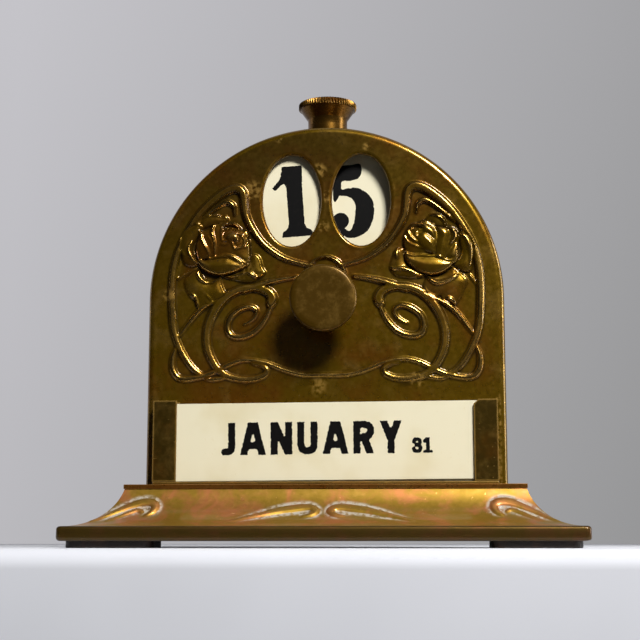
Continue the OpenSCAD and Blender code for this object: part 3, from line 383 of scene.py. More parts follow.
class Relief:
    """Heights over a rectangle, in millimetres, from which a sheet takes its pressed pattern."""

    def __init__(self, x0, x1, z0, z1, pitch):
        self.x0, self.z0, self.pitch = x0, z0, pitch
        self.xs = np.arange(x0, x1 + pitch, pitch)
        self.zs = np.arange(z0, z1 + pitch, pitch)
        self.heights = np.zeros((len(self.xs), len(self.zs)))

    def window(self, low_x, high_x, low_z, high_z):
        """The part of the rectangle near some place, as slices and coordinates."""
        i0 = max(0, int((low_x - self.x0) / self.pitch))
        i1 = min(len(self.xs), int((high_x - self.x0) / self.pitch) + 2)
        j0 = max(0, int((low_z - self.z0) / self.pitch))
        j1 = min(len(self.zs), int((high_z - self.z0) / self.pitch) + 2)
        if i0 >= i1 or j0 >= j1:
            return None
        gx, gz = np.meshgrid(self.xs[i0:i1], self.zs[j0:j1], indexing="ij")
        return slice(i0, i1), slice(j0, j1), gx, gz

    def wire(self, points, tall, laid="beside", groove=0.0, steps=8):
        """Raises a half-round stem along a path of x, z and half width: beside what is there, on top of it
        or, as a hollow, out of it. groove sinks the middle of a wide stem between two crests."""
        path = smooth_path(points, steps)
        lift = np.zeros(self.heights.shape)
        for (x0, z0, r0), (x1, z1, r1) in zip(path, path[1:]):
            reach = max(r0, r1)
            part = self.window(min(x0, x1) - reach, max(x0, x1) + reach,
                               min(z0, z1) - reach, max(z0, z1) + reach)
            if part is None:
                continue
            rows, columns, gx, gz = part
            away, along = beside_stroke(gx, gz, x0, z0, x1, z1)
            half = np.maximum(r0 + (r1 - r0) * along, 0.02)
            off = away / half
            rise = np.sqrt(np.clip(1 - off ** 2, 0, 1)) - groove * np.clip(1 - (off / 0.62) ** 2, 0, 1)
            rise = np.where(off < 1, tall * np.minimum(1.0, np.sqrt(half)) * rise, 0)
            held = lift[rows, columns]
            np.maximum(held, rise, out=held)
        if laid == "beside":
            self.heights = np.maximum(self.heights, lift)
        else:
            self.heights += lift if laid == "on top" else -lift

    def petal(self, points, foot, dome, soft):
        """Lays a domed petal over what is there: foot is its rim's height, dome how much its middle rises and
        soft how far from the rim it does so."""
        path = smooth_path(points, 6, closed=True)[:, :2]
        low, high = path.min(axis=0), path.max(axis=0)
        rows, columns, gx, gz = self.window(low[0], high[0], low[1], high[1])
        depth, inside = distance_to(path, gx, gz)
        rise = foot + dome * (1 - np.exp(-depth / soft))
        held = self.heights[rows, columns]
        held[inside] = rise[inside]

    def blur(self, size):
        """The heights softened over a distance."""
        return softened_field(self.heights, size / self.pitch)

    def at(self, field, x, z):
        """The values of a field of this rectangle at places x, z."""
        u = np.clip((x - self.x0) / self.pitch, 0, len(self.xs) - 1.001)
        v = np.clip((z - self.z0) / self.pitch, 0, len(self.zs) - 1.001)
        i, j = u.astype(int), v.astype(int)
        fu, fv = u - i, v - j
        return ((field[i, j] * (1 - fu) + field[i + 1, j] * fu) * (1 - fv)
                + (field[i, j + 1] * (1 - fu) + field[i + 1, j + 1] * fu) * fv)


def softened_field(field, cells):
    """A field softened over a number of cells in both directions."""
    half = max(1, int(3 * cells))
    weights = np.exp(-0.5 * (np.arange(-half, half + 1) / cells) ** 2)
    weights /= weights.sum()
    for axis in (0, 1):
        wide = [(half, half) if k == axis else (0, 0) for k in (0, 1)]
        padded = np.pad(field, wide, mode="reflect")
        count = field.shape[axis]
        field = sum(w * np.take(padded, range(k, k + count), axis=axis) for k, w in enumerate(weights))
    return field


def distance_to(path, gx, gz):
    """The distance from places to a closed outline, and which of them are inside."""
    nearest = np.full(gx.shape, 1e9)
    inside = np.zeros(gx.shape, dtype=bool)
    for (x0, z0), (x1, z1) in zip(path, np.roll(path, -1, axis=0)):
        nearest = np.minimum(nearest, beside_stroke(gx, gz, x0, z0, x1, z1)[0])
        rise = z1 - z0 if abs(z1 - z0) > 1e-12 else 1e-12
        inside ^= ((z0 > gz) != (z1 > gz)) & (gx < x0 + (gz - z0) * (x1 - x0) / rise)
    return nearest, inside


def cut_grid(distance, xs, zs, snap):
    """A grid kept where distance is positive, with its rim moved onto the outline: x, z, quads, triangles."""
    gx, gz = np.meshgrid(xs, zs, indexing="ij")
    away = distance(gx, gz)
    held = away > -snap
    rim = held & (away < snap)
    px, pz = gx[rim], gz[rim]
    small = snap * 0.1
    for _ in range(4):
        gap = distance(px, pz)
        ux = (distance(px + small, pz) - distance(px - small, pz)) / (2 * small)
        uz = (distance(px, pz + small) - distance(px, pz - small)) / (2 * small)
        size = np.maximum(ux * ux + uz * uz, 0.25)
        px, pz = px - gap * ux / size, pz - gap * uz / size
    gx[rim], gz[rim] = px, pz
    number = np.full(gx.shape, -1)
    number[held] = np.arange(held.sum())
    corners = np.stack([number[:-1, :-1], number[1:, :-1], number[1:, 1:], number[:-1, 1:]], axis=-1)
    corners = corners.reshape(-1, 4)
    filled = (corners >= 0).sum(axis=1)
    triples = corners[filled == 3]
    return gx[held], gz[held], corners[filled == 4], triples[triples >= 0].reshape(-1, 3)


# Meshes

def rims(bm):
    """The closed rows of vertices along the open edges, in the direction of their faces."""
    follow = {}
    for edge in bm.edges:
        if len(edge.link_faces) == 1:
            loop = edge.link_loops[0]
            follow[loop.vert] = loop.link_loop_next.vert
    rows = []
    while follow:
        start = next(iter(follow))
        row, here = [start], follow.pop(start)
        while here is not start and here in follow:
            row.append(here)
            here = follow.pop(here)
        rows.append(row)
    return rows


def band(bm, low, high, closed=True):
    """Adds the faces between two rows of vertices of one length."""
    count = len(low)
    for i in range(count if closed else count - 1):
        k = (i + 1) % count
        bm.faces.new((low[i], low[k], high[k], high[i]))


def skirt(bm, row, places, closed=True):
    """Joins a row of vertices to a new row at the given places, and returns the new row."""
    fresh = [bm.verts.new(place) for place in places]
    band(bm, fresh, row, closed)
    return fresh


def closed_tube(bm, rows):
    """Joins rows of places, all of one length, into a closed shell."""
    rows = [[bm.verts.new(place) for place in row] for row in rows]
    for low, high in zip(rows, rows[1:]):
        band(bm, low, high)
    bm.faces.new(rows[0])
    bm.faces.new(rows[-1])


def sheet_to_bmesh(x, y, z, quads, triples, **marks):
    """A bmesh of a cut grid, in millimetres, with a vertex layer for each mark such as hollow."""
    bm = bmesh.new()
    layers = [bm.verts.layers.float.new(name) for name in marks]
    verts = [bm.verts.new(p) for p in zip(x, y, z)]
    for layer, values in zip(layers, marks.values()):
        for vert, value in zip(verts, values.tolist()):
            vert[layer] = value
    for face in quads.tolist() + triples.tolist():
        bm.faces.new([verts[i] for i in face])
    return bm


def mesh_of(bm, name):
    """Turns a bmesh in millimetres into a mesh in metres."""
    for vert in bm.verts:
        vert.co *= MM
    bmesh.ops.recalc_face_normals(bm, faces=bm.faces)
    mesh = bpy.data.meshes.new(name)
    bm.to_mesh(mesh)
    bm.free()
    return mesh


def linked(name, data):
    """Puts an object with its mesh, lamp or camera in the scene."""
    made = bpy.data.objects.new(name, data)
    bpy.context.scene.collection.objects.link(made)
    return made


def new_object(mesh, name, material, sharp):
    """Puts a mesh in metres in the scene with its material, smooth but for edges sharper than an angle."""
    mesh.polygons.foreach_set("use_smooth", [True] * len(mesh.polygons))
    mesh.set_sharp_from_angle(angle=math.radians(sharp))
    mesh.materials.append(material)
    return linked(name, mesh)


def dressed(mesh, name, body, slot, finish=None, replaces=(), sharp=35.0):
    """Makes a mesh in metres a piece that rides on a body. Its finish is its slot's unless one is named."""
    piece = new_object(mesh, name, finish_of(finish or slot), sharp)
    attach(piece, body)
    if replaces:
        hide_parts(*replaces)
    return piece


def placed(bm, name, *wishes, **more):
    """Makes a bmesh in millimetres a piece, dressed as the further values say."""
    return dressed(mesh_of(bm, name), name, *wishes, **more)


def softened(node, width, slot, finish=None, body="case"):
    """A node of the frame with its edges rounded by a small width in millimetres."""
    bm = bmesh.new()
    bm.from_mesh(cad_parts[node].data)
    bmesh.ops.remove_doubles(bm, verts=bm.verts, dist=0.001 * MM)
    bmesh.ops.dissolve_limit(bm, angle_limit=math.radians(0.6), verts=bm.verts, edges=bm.edges)
    mesh = bpy.data.meshes.new("soft_" + node)
    bm.to_mesh(mesh)
    bm.free()
    for name in [a.name for a in mesh.attributes if a.name in ("custom_normal", "sharp_edge", "sharp_face")]:
        mesh.attributes.remove(mesh.attributes[name])
    piece = dressed(mesh, "soft_" + node, body, slot, finish, (node,))
    bevel = piece.modifiers.new("Rounded edges", "BEVEL")
    bevel.width = width * MM
    bevel.segments = 2
    bevel.limit_method = "ANGLE"
    bevel.angle_limit = math.radians(30)
    bevel.use_clamp_overlap = True
    bevel.harden_normals = True


def paint(finish, *nodes):
    """Gives nodes of the frame their finish."""
    for node in nodes:
        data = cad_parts[node].data
        data.materials.clear()
        data.materials.append(finish_of(finish))


def round_row(radius, steps, start=0.0, end=2 * math.pi):
    """Steps round a circle from one angle towards another, as x and y."""
    angles = [start + (end - start) * k / steps for k in range(steps)]
    return [(radius * math.cos(a), radius * math.sin(a)) for a in angles]


def turned_solid(profile, bore_end, steps, place, teeth=0.0):
    """Turns a profile of (radius, height, toothed share, hollow mark), from the rim of a blind bore at its
    foot to the middle of its top, into a bmesh. place puts x, y and height into the frame, bore_end is the
    height at which the bore ends, and teeth how deep the knurling is, a tooth to every TOOTH_STEPS steps."""
    bm = bmesh.new()
    turning, hollow = [bm.verts.layers.float.new(name) for name in ("turning", "hollow")]
    rows = []
    for radius, height, toothed, shade in profile:
        rows.append([])
        for k in range(steps):
            angle = 2 * math.pi * k / steps
            r = radius + teeth * math.cos(steps // TOOTH_STEPS * angle) * toothed
            vert = bm.verts.new(place(r * math.cos(angle), r * math.sin(angle), height))
            vert[turning] = radius + height
            vert[hollow] = shade
            rows[-1].append(vert)
    for low, high in zip(rows, rows[1:]):
        band(bm, low, high)
    bm.faces.new(rows[-1])
    bore = skirt(bm, rows[0], [place(x, y, bore_end) for x, y in round_row(profile[0][0], steps)])
    bm.faces.new(bore)
    return bm


# The pressed ornament of the front, right half: x and z from the middle line and the table, half width

BORDER = [(3.7, 76.8, 0.55), (8.7, 78.0, 0.6), (12.5, 79.6, 0.7), (17, 83, 0.8), (20, 87, 0.9), (22, 91, 1.0),
          (22.6, 95, 1.1), (23, 97.6, 1.2), (24.5, 99, 1.25), (27, 98.6, 1.25), (30.5, 96.3, 1.2),
          (34.3, 92.7, 1.1), (37.3, 88.6, 1.0), (39.5, 84.8, 0.95), (41.3, 80.1, 0.95), (42.2, 75.6, 1.0),
          (42.5, 70.6, 1.0), (42.4, 66, 1.0), (42, 60.5, 0.95), (41, 56.3, 0.9), (39.2, 52.5, 0.85),
          (37, 49.2, 0.8), (34.5, 47, 0.7), (32, 46.3, 0.5)]
CORNER_LINE = [(25.2, 91.5, 0.35), (25.7, 94.2, 0.6), (28, 95.0, 0.7), (32, 92.3, 0.6), (35.7, 88.9, 0.35)]
BRANCH = [(28, 68.4, 0.5), (31.2, 66.8, 0.6), (34.2, 65, 0.65), (37, 62, 0.6), (39.2, 59, 0.5),
          (40.3, 57.6, 0.35)]
KNOB_STEM = [(7.8, 73.7, 0.45), (12.2, 73.1, 0.65), (16.4, 72.1, 0.8), (19.5, 71, 0.85), (22.4, 69.8, 0.6)]
BIG_SCROLL = [(15.0, 66.4, 1.3), (14.6, 67.6, 1.45), (15.4, 69.3, 1.3), (17.6, 70.4, 1.05), (20.4, 70.8, 1.0),
              (24, 70.2, 1.1), (27.4, 68.3, 1.2), (30.1, 65.2, 1.25), (32, 61.4, 1.2), (32.7, 57.2, 1.15),
              (32.1, 53, 1.1), (30, 49, 1.0), (27.3, 46.6, 0.95), (24, 45.6, 0.9), (21, 45.4, 0.85),
              (18.6, 45.7, 0.8), (16.4, 46.7, 0.75), (16.0, 48.1, 0.65), (17.6, 49.3, 0.55), (20, 49.8, 0.4)]
INNER_SPIRAL = [(15, 65.3, 0.5), (17, 61.4, 0.7), (19.7, 58.5, 0.8), (22.8, 57.2, 0.85), (25.7, 57.5, 0.85),
                (26.9, 59.6, 0.8), (26.2, 62.6, 0.8), (23.5, 64.8, 0.75), (20.8, 65.5, 0.65),
                (19.0, 64.6, 0.55), (19.2, 62.9, 0.5), (20.6, 61.5, 0.45), (22.4, 60.6, 0.35)]
BOTTOM_LINE = [(-2, 46.5, 0.6), (0, 46.5, 0.6), (5, 46.5, 0.6), (9, 47.2, 0.6), (12.5, 48.4, 0.6),
               (16, 49.8, 0.55), (19.5, 50.6, 0.55), (23, 50.6, 0.55), (26.5, 49.5, 0.6), (30, 47.7, 0.65),
               (33, 46.5, 0.7), (36, 45.8, 0.75), (38.5, 45.6, 0.8), (40.6, 46.2, 0.85), (41.9, 48.4, 0.85),
               (42, 51.5, 0.7), (41.2, 54, 0.4)]
SMALL_LEAF = [(27.1, 46.0, 0.3), (29, 45.6, 0.55), (31.4, 45.4, 0.5), (33, 45.6, 0.3)]
# Each rose from its lowest petal to its highest: a petal with the height of its rim, the rise of its middle,
# how softly it domes and its outline; a ridge or hollow with its height and its path with half widths
LEFT_ROSE = [
    # top petal
    ("petal", 0.25, 0.35, 0.8, [(27.1, 89.1), (27.1, 90.3), (27.8, 91.1), (28.8, 90.9), (30.2, 91.5),
         (32.1, 91.3), (33.8, 90.8), (35, 89.4), (34.2, 87.8), (31.9, 88.3), (28.8, 88.7)]),
    ("ridge", 0.35, [(27.1, 89.2, 0.2), (27.2, 90.4, 0.3), (27.9, 91, 0.35), (28.9, 90.9, 0.3),
         (30.4, 91.3, 0.3), (32.3, 91.2, 0.3), (34, 90.5, 0.2)]),
    # outer petal
    ("petal", 0.3, 0.6, 1.2, [(34.1, 87.8), (35, 89), (36.1, 89), (38, 87.8), (39.5, 86.4), (40.2, 84.5),
         (40.3, 82.6), (40.1, 80.7), (39.7, 79.2), (39.2, 77.8), (38, 77), (36.4, 77), (35.2, 77.6),
         (36.1, 79.7), (36.9, 81.6), (36.6, 83.5), (35.4, 85.4)]),
    ("ridge", 0.5, [(36.9, 84, 0.2), (37.6, 82.8, 0.4), (37.8, 81.4, 0.6), (37.3, 80, 0.65),
         (36.6, 78.8, 0.5), (35.5, 77.8, 0.25)]),
    ("ridge", 0.3, [(40, 81.6, 0.25), (39.3, 80.2, 0.25)]),
    ("ridge", 0.3, [(34.1, 87.8, 0.3), (35, 88.7, 0.35), (36, 88.9, 0.25)]),
    # inward petal
    ("petal", 0.3, 0.4, 1, [(20.3, 80), (19.1, 80), (18.2, 79.2), (17.7, 77.8), (17.3, 76.4), (16.5, 75.1),
         (17.6, 74), (18.8, 73.5), (19.1, 72.8), (20.7, 72.3), (22.6, 72.4), (25, 73), (27.8, 73.9),
         (25.9, 74.5), (23.5, 75.4), (21.6, 76.6), (20.8, 77.8)]),
    ("ridge", 0.3, [(20.2, 80, 0.2), (19.1, 79.9, 0.25), (18.3, 79.2, 0.25), (17.8, 77.8, 0.22),
         (17.5, 76.4, 0.22), (16.6, 75.1, 0.15)]),
    ("ridge", 0.5, [(16.6, 75, 0.15), (17.6, 74.2, 0.3), (19, 73.7, 0.45), (20, 74.3, 0.5),
         (21.1, 74.9, 0.45), (22.6, 74.8, 0.4), (24, 74.3, 0.35), (25.9, 73.9, 0.3), (27.7, 73.9, 0.15)]),
    # sepal
    ("petal", 0.25, 0.55, 1.3, [(34.8, 75.9), (35.2, 76.1), (36.6, 75.4), (38, 74.2), (39, 73), (38.9, 71.1),
         (38, 69.2), (37.1, 68), (36.1, 67.5), (35.8, 66.4), (35, 65.4), (33.8, 65.9), (32.1, 66.4),
         (30.7, 67.1), (29.2, 67.6), (27.6, 69), (28, 70.2), (28.8, 72.1), (29, 73.8), (30.7, 72.8),
         (32.1, 72.2), (33.5, 73)]),
    ("ridge", 0.6, [(35.1, 75.5, 0.5), (34.9, 74.2, 0.7), (34, 73.1, 0.7), (32.6, 72.5, 0.6),
         (31.1, 72.6, 0.45), (30, 73.1, 0.3), (29.1, 73.7, 0.25)]),
    ("ridge", 0.3, [(29, 73.8, 0.25), (28.9, 72.1, 0.25), (28.3, 70.4, 0.25), (27.7, 69, 0.2)]),
    ("ridge", 0.4, [(37, 69.2, 0.25), (36, 68.3, 0.4), (35.5, 67.3, 0.35), (35.3, 66.4, 0.35),
         (35, 65.6, 0.3)]),
    ("ridge", 0.3, [(33, 69, 0.15), (32.1, 68.1, 0.25), (31.3, 67, 0.25), (32.8, 66.6, 0.15)]),
    # thin leaf
    ("ridge", 0.5, [(35.5, 76.6, 0.2), (36.9, 75.8, 0.3), (38, 75.2, 0.3), (39.2, 74.5, 0.3),
         (40.5, 73.6, 0.35), (41, 73.7, 0.3), (41, 75.2, 0.25), (40.6, 76.9, 0.2), (40.2, 78.5, 0.15)]),
    # bud
    ("petal", 0.75, 0.75, 2, [(21.4, 84.5), (21.3, 85.8), (22.1, 86.9), (23.4, 86.9), (24.2, 88),
         (25.4, 88.9), (27.3, 89), (29.2, 88.9), (31.1, 88.6), (32.1, 87.6), (33.3, 87.1), (34.5, 86.6),
         (35.2, 85), (35.8, 82.6), (35.7, 80.7), (35, 78.8), (33, 78.8), (29.2, 78.3), (25.9, 77.6),
         (21.9, 77.6), (20.9, 78.5), (20.9, 80.7), (21, 82.6)]),
    ("ridge", 0.5, [(35, 86.9, 0.3), (34.5, 85.7, 0.5), (34.2, 84.5, 0.45), (33.4, 83, 0.35),
         (32.6, 81.4, 0.3), (32.1, 80.2, 0.25), (32, 78.8, 0.2)]),
    ("ridge", 0.5, [(30.7, 88.6, 0.3), (31.2, 87.8, 0.4), (31.4, 86.6, 0.45), (31.1, 85.4, 0.4),
         (30.7, 84, 0.3), (30.4, 82.1, 0.28), (30.4, 80.4, 0.25), (30.5, 79.5, 0.2)]),
    ("ridge", 0.25, [(32.5, 85.2, 0.15), (31.5, 83.8, 0.22), (31.3, 82.1, 0.15)]),
    ("hollow", 0.6, [(24.2, 87.1, 0.3), (25.4, 87.8, 0.5), (26.9, 87.9, 0.5), (28, 87.6, 0.3)]),
    # turned heart
    ("ridge", 0.45, [(23.2, 86.8, 0.25), (23.8, 87.6, 0.35), (24.7, 88.4, 0.35), (25.9, 88.8, 0.35),
         (27.3, 88.6, 0.35), (28.4, 88.2, 0.3), (28.7, 86.4, 0.25), (28.6, 84.2, 0.25)]),
    ("ridge", 0.3, [(24.4, 86.7, 0.2), (25, 87.2, 0.25), (26, 87.5, 0.25), (27.3, 87.3, 0.25),
         (28.3, 86.9, 0.2)]),
    ("hollow", 0.35, [(24.7, 86.6, 0.2), (25.9, 87, 0.35), (27.3, 86.7, 0.3), (28, 86.1, 0.2)]),
    ("ridge", 0.45, [(27.9, 85.1, 0.2), (27.2, 85.8, 0.3), (26.1, 86.2, 0.3), (25, 86.1, 0.3),
         (23.8, 85.8, 0.3), (22.9, 85, 0.3), (22.3, 83.9, 0.3), (22.4, 82.8, 0.3), (23.2, 81.9, 0.3),
         (24.5, 81.5, 0.3), (25.1, 81.8, 0.3), (25.4, 82.8, 0.3), (25.9, 83.5, 0.3), (27.1, 83.7, 0.3),
         (28.4, 83.7, 0.2)]),
    ("petal", 1.75, 0.35, 0.7, [(24, 85), (24.7, 85.7), (25.9, 85.9), (27, 85.4), (27.3, 84.5), (26.6, 83.8),
         (25.4, 83.8), (24.7, 83), (24, 83.8)]),
    ("ridge", 0.3, [(23.3, 84.7, 0.2), (23.3, 83.5, 0.22), (23.9, 82.8, 0.22), (24.5, 82.6, 0.15)]),
    ("ridge", 0.4, [(21.3, 85.4, 0.2), (21.7, 86.5, 0.3), (22.5, 86.9, 0.3), (23.3, 86.8, 0.25)]),
    ("ridge", 0.4, [(21.9, 84.4, 0.2), (21.3, 84.2, 0.28), (21.1, 83.5, 0.3), (21.4, 82.5, 0.28),
         (22.2, 81.9, 0.2)]),
    ("ridge", 0.25, [(26.4, 83.2, 0.2), (27.6, 82.8, 0.4), (28.7, 82.8, 0.3)]),
    # cup
    ("petal", 0.9, 0.85, 1.4, [(20.9, 78.4), (21.1, 77.6), (22.3, 77.3), (24, 78.2), (25.9, 79.2),
         (27.3, 79.7), (29.2, 79.5), (31.1, 79), (33, 78.5), (34.7, 78.8), (35.5, 78.4), (35, 77.3),
         (34, 76.1), (32.1, 75), (29.2, 74.2), (26.4, 74.7), (23.5, 75.7), (21.6, 76.8)]),
    ("ridge", 0.55, [(20.9, 78.4, 0.25), (21.3, 77.6, 0.4), (22.3, 77.4, 0.5), (24, 78.3, 0.55),
         (25.4, 79.1, 0.55), (26.9, 79.5, 0.55), (28.3, 79.5, 0.5), (30.2, 79.2, 0.4), (32.6, 78.6, 0.25)]),
]
RIGHT_ROSE = [
    # top petal
    ("petal", 0.25, 0.3, 0.8, [(28, 89.2), (28.3, 90.2), (29, 90.9), (30.2, 91), (31.4, 90.7), (32.6, 89.9),
         (33.2, 88.5), (33.3, 87.3), (31.6, 87.3), (30.2, 87.8), (29.2, 88.9)]),
    ("ridge", 0.6, [(29.1, 90.6, 0.3), (30.4, 90.7, 0.5), (31.6, 90.3, 0.6), (32.6, 89.3, 0.5),
         (33.1, 87.8, 0.3)]),
    # outer petal
    ("petal", 0.3, 0.7, 1.2, [(36.9, 85.7), (38, 85.9), (39.2, 85), (40.4, 83.3), (41, 81.6), (41, 79.2),
         (40.5, 77.3), (40, 75), (38.3, 74.7), (36.9, 75.1), (35.9, 75.9), (35.2, 76.6), (36.1, 77.6),
         (36.9, 78.8), (37.5, 80.7), (37.1, 82.8), (36.7, 84.5)]),
    ("ridge", 0.45, [(37.5, 85.3, 0.4), (38.8, 84.2, 0.7), (39.5, 82.8, 0.8), (39.9, 81.1, 0.7),
         (40, 78.8, 0.5), (39.7, 76.4, 0.3)]),
    ("ridge", 0.3, [(37.8, 74.9, 0.2), (38.9, 74.8, 0.3), (40, 75, 0.2)]),
    # inward petal
    ("petal", 0.3, 0.4, 1, [(21.7, 81.4), (20.2, 81.6), (19.2, 80.7), (18.5, 78.8), (17.9, 77.1),
         (17.8, 75.9), (18.3, 75), (19.2, 73.8), (21.1, 73.3), (23.5, 73), (25.9, 73.3), (27.4, 73.7),
         (25.4, 75), (23.5, 75.9), (22.1, 77.3), (21.7, 79.2)]),
    ("ridge", 0.4, [(19.8, 80.7, 0.4), (19.5, 79.7, 0.7), (19.7, 78.8, 0.5)]),
    ("ridge", 0.5, [(18, 76.1, 0.2), (18.9, 75.5, 0.4), (21.1, 75.7, 0.5), (23, 75.2, 0.55),
         (24.5, 74.5, 0.5), (25.9, 73.8, 0.4), (27.2, 73.6, 0.2)]),
    # sepal
    ("petal", 0.25, 0.5, 1.3, [(28.3, 73.5), (30.2, 73.4), (32.3, 74), (34.2, 75.4), (35.1, 76.1), (36.4, 75),
         (37.6, 73.8), (38.8, 72.6), (38.9, 71.4), (38, 70), (37.3, 68), (36.4, 66.6), (35.7, 65.6),
         (34.2, 65.9), (32.8, 66.6), (31.6, 68), (30.2, 67.9), (28.8, 68.3), (27.3, 69.2), (27.1, 71.4),
         (27.8, 72.8)]),
    ("ridge", 0.6, [(28.3, 73.1, 0.4), (29.5, 72, 0.6), (30.9, 71.5, 0.65), (32.6, 71.8, 0.6),
         (34.2, 72.5, 0.5), (35.6, 73.3, 0.4), (36.2, 74, 0.2)]),
    ("ridge", 0.35, [(35.1, 76, 0.2), (36.4, 74.8, 0.28), (37.8, 73.6, 0.28), (38.5, 72.6, 0.28),
         (38.9, 71.8, 0.2)]),
    ("ridge", 0.35, [(27.3, 70.4, 0.2), (27.8, 69.3, 0.28), (29.2, 68.4, 0.28), (30.7, 68, 0.2)]),
    ("ridge", 0.35, [(32, 67.8, 0.25), (32.5, 66.9, 0.25)]),
    ("ridge", 0.5, [(33.4, 67.5, 0.4), (34.4, 66.9, 0.55), (35.4, 66, 0.4)]),
    # thin leaf
    ("ridge", 0.5, [(39.7, 73.8, 0.3), (40.4, 72.6, 0.35), (41.2, 71.2, 0.2)]),
    # bud
    ("petal", 0.75, 0.6, 2, [(21.9, 85), (21.6, 83), (22, 81.1), (22.3, 79.7), (23.5, 78.8), (26.4, 78.8),
         (29.7, 78.5), (32.1, 78), (34.2, 77.6), (36.3, 78), (36.4, 79.7), (36.6, 82.1), (36.7, 84.5),
         (36.1, 86.1), (35, 87), (33.5, 87), (32.1, 86.9), (30.7, 87.3), (29.2, 88.5), (27.8, 89.1),
         (26.6, 88.7), (25.4, 88.3), (24.2, 88.2), (23.3, 87.3), (22.5, 86.1)]),
    # right petal
    ("petal", 1, 0.5, 0.8, [(34.1, 80.7), (35, 81.6), (36.2, 82.6), (36.5, 80.7), (36.3, 78.5), (34.5, 78.2),
         (33.5, 78.8)]),
    # middle petal
    ("petal", 1.15, 0.75, 1.3, [(30.7, 87.1), (32.1, 87.1), (33.5, 86.6), (34.4, 85.2), (34.2, 83),
         (33.8, 80.9), (33.2, 79.7), (32.9, 78.5), (30.7, 78.8), (30.4, 81.1), (30.7, 83.3), (31.2, 84.5),
         (31, 85.9)]),
    # folded petal
    ("petal", 1.2, 0.5, 0.7, [(33.6, 86.9), (35, 87), (36, 86.2), (36.4, 84.7), (36, 83.5), (34.8, 82.1),
         (34, 80.4), (33.4, 79.7), (33.9, 81.6), (34.4, 83.5), (34.7, 85.2)]),
    ("ridge", 0.35, [(34.4, 86.8, 0.25), (35.3, 86.1, 0.4), (35.8, 84.7, 0.45), (35.4, 83.5, 0.4),
         (34.2, 82.3, 0.25)]),
    # band petal
    ("petal", 1.2, 0.65, 0.8, [(26.4, 88), (27.8, 87.9), (29.2, 87.2), (30.2, 86.1), (30.5, 84.5),
         (30.4, 82.8), (29.5, 84), (28.3, 85), (27.1, 85.5), (26.9, 86.9)]),
    ("ridge", 0.3, [(26.5, 88.7, 0.2), (27.8, 89, 0.28), (29.1, 88.6, 0.28), (30.4, 87.4, 0.2)]),
    # heart petal
    ("petal", 1.3, 0.55, 0.8, [(25.4, 83.9), (25.9, 84.8), (27.1, 85.4), (28.3, 85), (29.5, 84), (30.3, 82.8),
         (30.4, 81.1), (30.2, 79.7), (28.8, 79.9), (27.3, 80.7), (26, 82)]),
    ("ridge", 0.25, [(27.1, 84.5, 0.15), (28, 83.5, 0.22), (29.2, 82.3, 0.25), (30.1, 81, 0.15)]),
    ("ridge", 0.3, [(26.4, 85, 0.2), (27.7, 85, 0.25), (29.2, 83.7, 0.25), (30.3, 82.6, 0.15)]),
    ("hollow", 0.5, [(24.2, 87, 0.25), (25.4, 87.1, 0.4), (26.6, 86.9, 0.25)]),
    # turned heart
    ("ridge", 0.4, [(23.5, 86.8, 0.2), (24, 87.7, 0.3), (25, 88.1, 0.3), (26.1, 87.7, 0.25),
         (26.4, 87.2, 0.15)]),
    ("ridge", 0.4, [(22.9, 86.4, 0.25), (23, 85.4, 0.35), (23.6, 84.4, 0.4), (24.5, 83.5, 0.4),
         (25.5, 83, 0.25)]),
    ("ridge", 0.35, [(22, 84.9, 0.2), (22.2, 83.8, 0.28), (23, 82.8, 0.28), (24.2, 82.1, 0.25),
         (25.7, 81.5, 0.25), (27.1, 80.8, 0.15)]),
    ("ridge", 0.3, [(25.2, 85.8, 0.2), (25.1, 84.8, 0.3), (25.6, 83.9, 0.25)]),
    ("ridge", 0.25, [(24.5, 86.3, 0.15), (25.5, 86.6, 0.22), (26.7, 86.3, 0.15)]),
    # cup
    ("petal", 0.9, 0.8, 1.4, [(22, 80.4), (22.8, 79.6), (24.2, 79.2), (26.4, 79.1), (28.8, 79), (30.7, 78.8),
         (32.6, 78.2), (34.2, 77.6), (35.7, 77.9), (36.4, 78.4), (36.1, 77.5), (35.2, 76.8), (34.2, 75.7),
         (32.6, 74.5), (30.4, 73.8), (28.3, 73.9), (26.4, 74.5), (25, 75.2), (23.5, 76.4), (22.3, 77.6),
         (21.9, 78.8)]),
    ("ridge", 0.5, [(22.1, 80.4, 0.25), (22.8, 79.6, 0.35), (24.2, 79.2, 0.4), (26.4, 79.2, 0.4),
         (28.8, 79, 0.4), (30.7, 78.9, 0.4), (32.3, 78.3, 0.38), (33.9, 77.8, 0.38), (35.2, 77.9, 0.32),
         (36.3, 78.4, 0.2)]),
]


def rose_laid(relief, rose, tall):
    """Builds a rose over the stems, petal by petal."""
    for kind, *values, points in rose:
        if kind == "petal":
            foot, dome, soft = values
            relief.petal(points, foot * tall, dome * tall, soft)
        else:
            laid = "on top" if kind == "ridge" else "out of it"
            relief.wire(points, 1.25 * values[0] * tall, laid, steps=5)


def low_share(z):
    """How far places are below the scrolls' upper half, where the pressing gets shallower, 0 to 1."""
    start, run = 60.0, 6.0
    return 1 - np.clip((z - start) / run, 0, 1)


